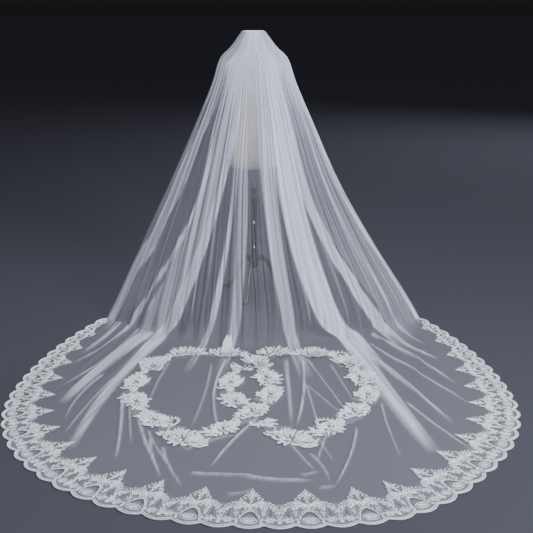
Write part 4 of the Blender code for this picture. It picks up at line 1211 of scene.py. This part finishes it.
# %% Tulle
COVER_OF_ONE_LAYER = 0.17
NET_CELLS_PER_METRE = 1 / 0.005
STREAKS_PER_METRE = 42.0
STREAK_STRETCH = 0.35

tulle = finish_of("nylon_tulle", "EEF0FF", 0.6, Sheen_Weight=0.3, Sheen_Roughness=0.4)
tulle_cut = add_node(tulle, "ShaderNodeUVMap", uv_map="cut")
layer_count = add_node(tulle, "ShaderNodeAttribute", attribute_name="layers")
along_cloth = add_node(
    tulle,
    "ShaderNodeMapping",
    {"Scale": (STREAKS_PER_METRE, STREAK_STRETCH, 1.0)},
    {"Vector": tulle_cut.outputs["UV"]},
)
streaks = add_node(
    tulle,
    "ShaderNodeTexNoise",
    {"Scale": 1.0, "Detail": 4.0, "Roughness": 0.65},
    {"Vector": along_cloth.outputs[0]},
)
streak_gain = add_node(
    tulle,
    "ShaderNodeMapRange",
    {"From Min": 0.36, "From Max": 0.64, "To Min": 0.40, "To Max": 1.90},
    {"Value": streaks.outputs["Fac"]},
)
net_cells = add_node(
    tulle,
    "ShaderNodeTexVoronoi",
    {"Scale": NET_CELLS_PER_METRE, "Randomness": 0.35},
    {"Vector": tulle_cut.outputs["UV"]},
    feature="DISTANCE_TO_EDGE",
)
net_gain = add_node(
    tulle,
    "ShaderNodeMapRange",
    {"From Min": 0.05, "From Max": 0.35, "To Min": 1.35, "To Max": 0.75},
    {"Value": net_cells.outputs["Distance"]},
)

# streaks only count where the cloth is gathered, so their gain is 1 + (gain - 1) * (1.15 - 1 / layers), and
# the last factor stays between 0 and 1
layers_here = layer_count.outputs["Fac"]
one_share = add_node(tulle, "ShaderNodeMath", {0: 1.0}, {1: layers_here}, operation="DIVIDE")
gathered = add_node(
    tulle, "ShaderNodeMath", {0: 1.15}, {1: one_share.outputs[0]}, operation="SUBTRACT", use_clamp=True
)
streak_excess = add_node(
    tulle, "ShaderNodeMath", {1: 1.0}, {0: streak_gain.outputs[0]}, operation="SUBTRACT"
)
streaked = add_node(
    tulle,
    "ShaderNodeMath",
    {2: 1.0},
    {0: streak_excess.outputs[0], 1: gathered.outputs[0]},
    operation="MULTIPLY_ADD",
)
streaked_layers = add_node(
    tulle, "ShaderNodeMath", links={0: layers_here, 1: streaked.outputs[0]}, operation="MULTIPLY"
)
netted_layers = add_node(
    tulle,
    "ShaderNodeMath",
    links={0: streaked_layers.outputs[0], 1: net_gain.outputs[0]},
    operation="MULTIPLY",
)
seen_through = add_node(
    tulle,
    "ShaderNodeMath",
    {0: 1 - COVER_OF_ONE_LAYER},
    {1: netted_layers.outputs[0]},
    operation="POWER",
)
opacity = add_node(tulle, "ShaderNodeMath", {0: 1.0}, {1: seen_through.outputs[0]}, operation="SUBTRACT")
feed(tulle, "Alpha", opacity.outputs[0])
gather_bump = add_node(
    tulle, "ShaderNodeBump", {"Strength": 0.25, "Distance": 0.004}, {"Height": streaks.outputs["Fac"]}
)
feed(tulle, "Normal", gather_bump.outputs["Normal"])
for piece in (veil_tent, veil_train):
    wear(piece, tulle)
print("tulle on the tent and the train")

# %% [markdown]
# ### Lace net and rayon stitching
# The net under the lace is stiffer and closer than the tulle, and drawn at 4 mm. The stitching is matt white
# rayon. Satin stitch shows as fine lines across each leaf; they are half a millimetre apart, and drawn at
# 4.7 mm so that they show. Inside its cord a leaf is filled thinly, and lets most of what is below through.

# %% Net and thread
LACE_CELLS_PER_METRE = 1 / 0.004
STITCHES_PER_METRE = 1 / 0.0047374
WAVE_BANDS = 20 / (2 * math.pi)  # how many bands a wave texture of scale 1 has in a metre

lace_net = finish_of("cotton_lace_net", "ECEEF8", 0.75)
lace_cut = add_node(lace_net, "ShaderNodeUVMap", uv_map="cut")
lace_cells = add_node(
    lace_net,
    "ShaderNodeTexVoronoi",
    {"Scale": LACE_CELLS_PER_METRE, "Randomness": 0.4},
    {"Vector": lace_cut.outputs["UV"]},
    feature="DISTANCE_TO_EDGE",
)
net_cover = add_node(
    lace_net,
    "ShaderNodeMapRange",
    {"From Min": 0.05, "From Max": 0.30, "To Min": 0.20, "To Max": 0.04},
    {"Value": lace_cells.outputs["Distance"]},
)
feed(lace_net, "Alpha", net_cover.outputs[0])
for piece in nets.values():
    wear(piece, lace_net)

rayon = finish_of("rayon_stitching", "F6F7FC", 0.5, Sheen_Weight=0.2, Sheen_Roughness=0.4)
thread_run = add_node(rayon, "ShaderNodeUVMap", uv_map="cut")
filling = add_node(rayon, "ShaderNodeAttribute", attribute_name="cover")
feed(rayon, "Alpha", filling.outputs["Fac"])
stitches = add_node(
    rayon,
    "ShaderNodeTexWave",
    {"Scale": STITCHES_PER_METRE / WAVE_BANDS, "Distortion": 1.5, "Detail": 2.0},
    {"Vector": thread_run.outputs["UV"]},
    bands_direction="X",
)
satin = add_node(
    rayon, "ShaderNodeBump", {"Strength": 0.5, "Distance": 0.0006}, {"Height": stitches.outputs["Fac"]}
)
feed(rayon, "Normal", satin.outputs["Normal"])
for piece in borders.values():
    wear(piece, rayon)
print("net and stitching on the lace")

# %% [markdown]
# ### The form and its stand
# Ivory cotton jersey over padding, dark stained beech turned on a lathe, chromed steel thumbscrews, a
# brushed steel post and a clear comb.

# %% Jersey
RIBS_PER_METRE = 1 / 0.0059218  # ribs are about 1 mm wide, and drawn coarser so that they show
MOTTLES_PER_METRE = 30.0  # where hands and light have toned the jersey, in patches of 33 mm

jersey = finish_of("ivory_cotton_jersey", "EFE8DA", 0.85, Sheen_Weight=0.2)
jersey_place = add_node(jersey, "ShaderNodeTexCoord")
ribs = add_node(
    jersey,
    "ShaderNodeTexWave",
    {"Scale": RIBS_PER_METRE / WAVE_BANDS, "Distortion": 2.0, "Detail": 2.0},
    {"Vector": jersey_place.outputs["Object"]},
    bands_direction="Z",
)
knit = add_node(
    jersey, "ShaderNodeBump", {"Strength": 0.3, "Distance": 0.001}, {"Height": ribs.outputs["Fac"]}
)
feed(jersey, "Normal", knit.outputs["Normal"])
mottle = add_node(
    jersey,
    "ShaderNodeTexNoise",
    {"Scale": MOTTLES_PER_METRE, "Detail": 3.0},
    {"Vector": jersey_place.outputs["Object"]},
)
shade = add_node(jersey, "ShaderNodeValToRGB", links={"Fac": mottle.outputs["Fac"]})
shade.color_ramp.elements[0].color = linear("E6DDCB")
shade.color_ramp.elements[1].color = linear("F3EDE1")
feed(jersey, "Base Color", shade.outputs["Color"])
wear(form_cover, jersey)
print("jersey on the form")

# %% Stained beech
GRAIN_MM = 5.0  # flecks of 1 to 2 mm, drawn coarser so that they show
GRAIN_STRETCH = 18  # the fibres are this much longer than wide

beech = finish_of("dark_stained_beech", "3A2119", 0.35, Coat_Weight=0.3, Coat_Roughness=0.25)
beech_place = add_node(beech, "ShaderNodeTexCoord")
lengthwise = add_node(
    beech,
    "ShaderNodeMapping",
    {"Scale": (1000 / GRAIN_MM, 1000 / GRAIN_MM, 1000 / GRAIN_MM / GRAIN_STRETCH)},
    {"Vector": beech_place.outputs["Object"]},
)
grain = add_node(
    beech,
    "ShaderNodeTexNoise",
    {"Scale": 1.0, "Detail": 5.0, "Roughness": 0.6},
    {"Vector": lengthwise.outputs[0]},
)
stain = add_node(beech, "ShaderNodeValToRGB", links={"Fac": grain.outputs["Fac"]})
stain.color_ramp.elements[0].position = 0.35
stain.color_ramp.elements[1].position = 0.70
stain.color_ramp.elements[0].color = linear("24120D")
stain.color_ramp.elements[1].color = linear("5A3527")
feed(beech, "Base Color", stain.outputs["Color"])
pores = add_node(
    beech, "ShaderNodeBump", {"Strength": 0.2, "Distance": 0.0005}, {"Height": grain.outputs["Fac"]}
)
feed(beech, "Normal", pores.outputs["Normal"])
LEGS = ("stand_leg_front", "stand_leg_left", "stand_leg_right")
for name in ("form_neck_cap", "stand_column", "stand_hub", *LEGS):
    wear(nodes[name], beech)
print("beech on the neck cap, the column and its legs")


# %% Metals and the comb
CHROME_MARKS = (300.0, 300.0, 300.0)  # to the metre along x, y and z: faint wear of 3 mm
STEEL_MARKS = (900.0, 900.0, 30.0)  # brushed up and down, marks of 0.2 mm drawn at 1 mm so that they show
HAZE_PER_METRE = 400.0  # fine scratches, drawn as specks of 2.5 mm
PLEATS = (500.0, 40.0, 40.0)  # to the metre: 2 mm wide, and 25 mm long


def brushed(name, colour, roughness, marks_per_metre):
    """A metal whose roughness varies in fine marks."""
    metal = finish_of(name, colour, roughness, Metallic=1.0)
    place = add_node(metal, "ShaderNodeTexCoord")
    marks_at = add_node(
        metal, "ShaderNodeMapping", {"Scale": marks_per_metre}, {"Vector": place.outputs["Object"]}
    )
    marks = add_node(
        metal, "ShaderNodeTexNoise", {"Scale": 1.0, "Detail": 3.0}, {"Vector": marks_at.outputs[0]}
    )
    spread = add_node(
        metal,
        "ShaderNodeMapRange",
        {"To Min": roughness * 0.7, "To Max": roughness * 1.4},
        {"Value": marks.outputs["Fac"]},
    )
    feed(metal, "Roughness", spread.outputs[0])
    return metal


chrome = brushed("chromed_steel", "D9DADC", 0.12, CHROME_MARKS)
steel = brushed("brushed_steel", "B4B2AE", 0.35, STEEL_MARKS)
for name in ("upper_screw", "lower_screw"):
    wear(nodes[name], chrome)
wear(nodes["stand_post"], steel)

acrylic = finish_of("clear_acrylic", "E9EBEE", 0.18, Alpha=0.55, IOR=1.49)
comb_place = add_node(acrylic, "ShaderNodeTexCoord")
haze = add_node(
    acrylic,
    "ShaderNodeTexNoise",
    {"Scale": HAZE_PER_METRE, "Detail": 2.0},
    {"Vector": comb_place.outputs["Object"]},
)
smear = add_node(
    acrylic, "ShaderNodeMapRange", {"To Min": 0.12, "To Max": 0.28}, {"Value": haze.outputs["Fac"]}
)
feed(acrylic, "Roughness", smear.outputs[0])
wear(nodes["comb"], acrylic)

band_tulle = finish_of("doubled_tulle", "EEF0FF", 0.6, Sheen_Weight=0.3)
band_place = add_node(band_tulle, "ShaderNodeTexCoord")
gather_at = add_node(
    band_tulle,
    "ShaderNodeMapping",
    {"Scale": PLEATS},
    {"Vector": band_place.outputs["Object"]},
)
pleats = add_node(
    band_tulle, "ShaderNodeTexNoise", {"Scale": 1.0, "Detail": 2.0}, {"Vector": gather_at.outputs[0]}
)
ruching = add_node(
    band_tulle, "ShaderNodeBump", {"Strength": 0.8, "Distance": 0.002}, {"Height": pleats.outputs["Fac"]}
)
feed(band_tulle, "Normal", ruching.outputs["Normal"])
wear(gathers, band_tulle)
print("steel, chrome, acrylic and the band")

# %% [markdown]
# ## The room
# A plain grey floor and four soft lights. White net on a white floor can't be seen, so the floor is a good
# deal darker than the lace. The key light is high on the right, a weak one fills in from the left, one hangs
# overhead, and one beyond the form to the right catches the edges of the folds.

# %% Floor and lights
FLOOR_SIZE = 400.0
ZENITH_LIGHT = 0.30
HORIZON_LIGHT = 0.012  # as dark as the far floor, so that no line shows where it ends

floor_grid = bmesh.new()
bmesh.ops.create_grid(floor_grid, x_segments=1, y_segments=1, size=FLOOR_SIZE / 2)
floor_mesh = bpy.data.meshes.new("studio_floor")
floor_grid.to_mesh(floor_mesh)
floor_grid.free()
studio_floor = bpy.data.objects.new("studio_floor", floor_mesh)
bpy.context.scene.collection.objects.link(studio_floor)
wear(studio_floor, finish_of("painted_floor", "4C4C54", 0.9, Specular_IOR_Level=0.0))

DAYLIGHT = (0.91, 0.94, 1.00)
SoftLight = namedtuple("SoftLight", "name place aim size power")
LIGHTS = [
    SoftLight("key_softbox", (3.2, -3.4, 2.9), (0.0, 0.6, 1.35), 2.0, 300.0),
    SoftLight("left_softbox", (-3.4, -3.0, 2.2), (0.0, 0.0, 0.8), 2.4, 40.0),
    SoftLight("overhead_softbox", (-0.2, 0.2, 4.8), (0.0, 0.2, 0.2), 2.2, 130.0),
    SoftLight("rim_softbox", (5.0, 8.6, 5.6), (0.0, 0.2, 0.6), 3.6, 400.0),
]
for light in LIGHTS:
    lamp = bpy.data.lights.new(light.name, "AREA")
    lamp.energy = light.power
    lamp.color = DAYLIGHT
    lamp.shape = "DISK"
    lamp.size = light.size
    softbox = bpy.data.objects.new(light.name, lamp)
    softbox.location = light.place
    softbox.rotation_euler = (Vector(light.aim) - Vector(light.place)).to_track_quat("-Z", "Y").to_euler()
    bpy.context.scene.collection.objects.link(softbox)

room_light = bpy.data.worlds.new("soft_room")
room_light.use_nodes = True
backdrop = room_light.node_tree.nodes["Background"]
backdrop.inputs["Color"].default_value = linear("E6E7F0")
direction = add_node(room_light, "ShaderNodeTexCoord")
upwards = add_node(room_light, "ShaderNodeSeparateXYZ", links={"Vector": direction.outputs["Generated"]})
glow = add_node(
    room_light,
    "ShaderNodeMapRange",
    {"To Min": HORIZON_LIGHT, "To Max": ZENITH_LIGHT},
    {"Value": upwards.outputs["Z"]},
)
room_light.node_tree.links.new(glow.outputs[0], backdrop.inputs["Strength"])
bpy.context.scene.world = room_light
print(f"{len(LIGHTS)} softboxes of {sum(light.power for light in LIGHTS):.0f} W together")

# %% The camera
CAMERA_PLACE = (0.0241, -4.3267, 1.690)
CAMERA_TILT = math.radians(90 - 15.12)
IMAGE_SIDE = 533
FOCAL_PIXELS = 955.4
SENSOR = 36.0

lens = bpy.data.cameras.new("camera")
lens.sensor_width = SENSOR
lens.lens = SENSOR * FOCAL_PIXELS / IMAGE_SIDE
camera = bpy.data.objects.new("camera", lens)
camera.location = CAMERA_PLACE
camera.rotation_euler = (CAMERA_TILT, 0, 0)
bpy.context.scene.collection.objects.link(camera)
bpy.context.scene.camera = camera
print(f"camera {lens.lens:.1f} mm, {camera.location.z:.2f} m up")

# %% [markdown]
# ## What each piece stands for
# The two pieces of tulle stand for the nine solids of the veil. The tulle was cut 3 m wide, the border
# comes in three lengths of a third of the hem, and each arc of a heart is as long as its middle line. The
# area is what is left when edges and gaps have been cut away.

TENT_NODES = [
    "veil_crown",
    "veil_fall_left",
    "veil_fall_left_back",
    "veil_fall_back",
    "veil_fall_right_back",
    "veil_fall_right",
]
TRAIN_NODES = ["veil_train_left", "veil_train_back", "veil_train_right"]
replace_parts(veil_tent, *TENT_NODES)
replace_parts(veil_train, *TRAIN_NODES)


def area_of(piece):
    return sum(face.area for face in piece.data.polygons)


print(f"tent {area_of(veil_tent):.2f} m2, train {area_of(veil_train):.2f} m2")
for node, piece in nets.items():
    print(f"{node}: net {area_of(piece):.4f} m2")
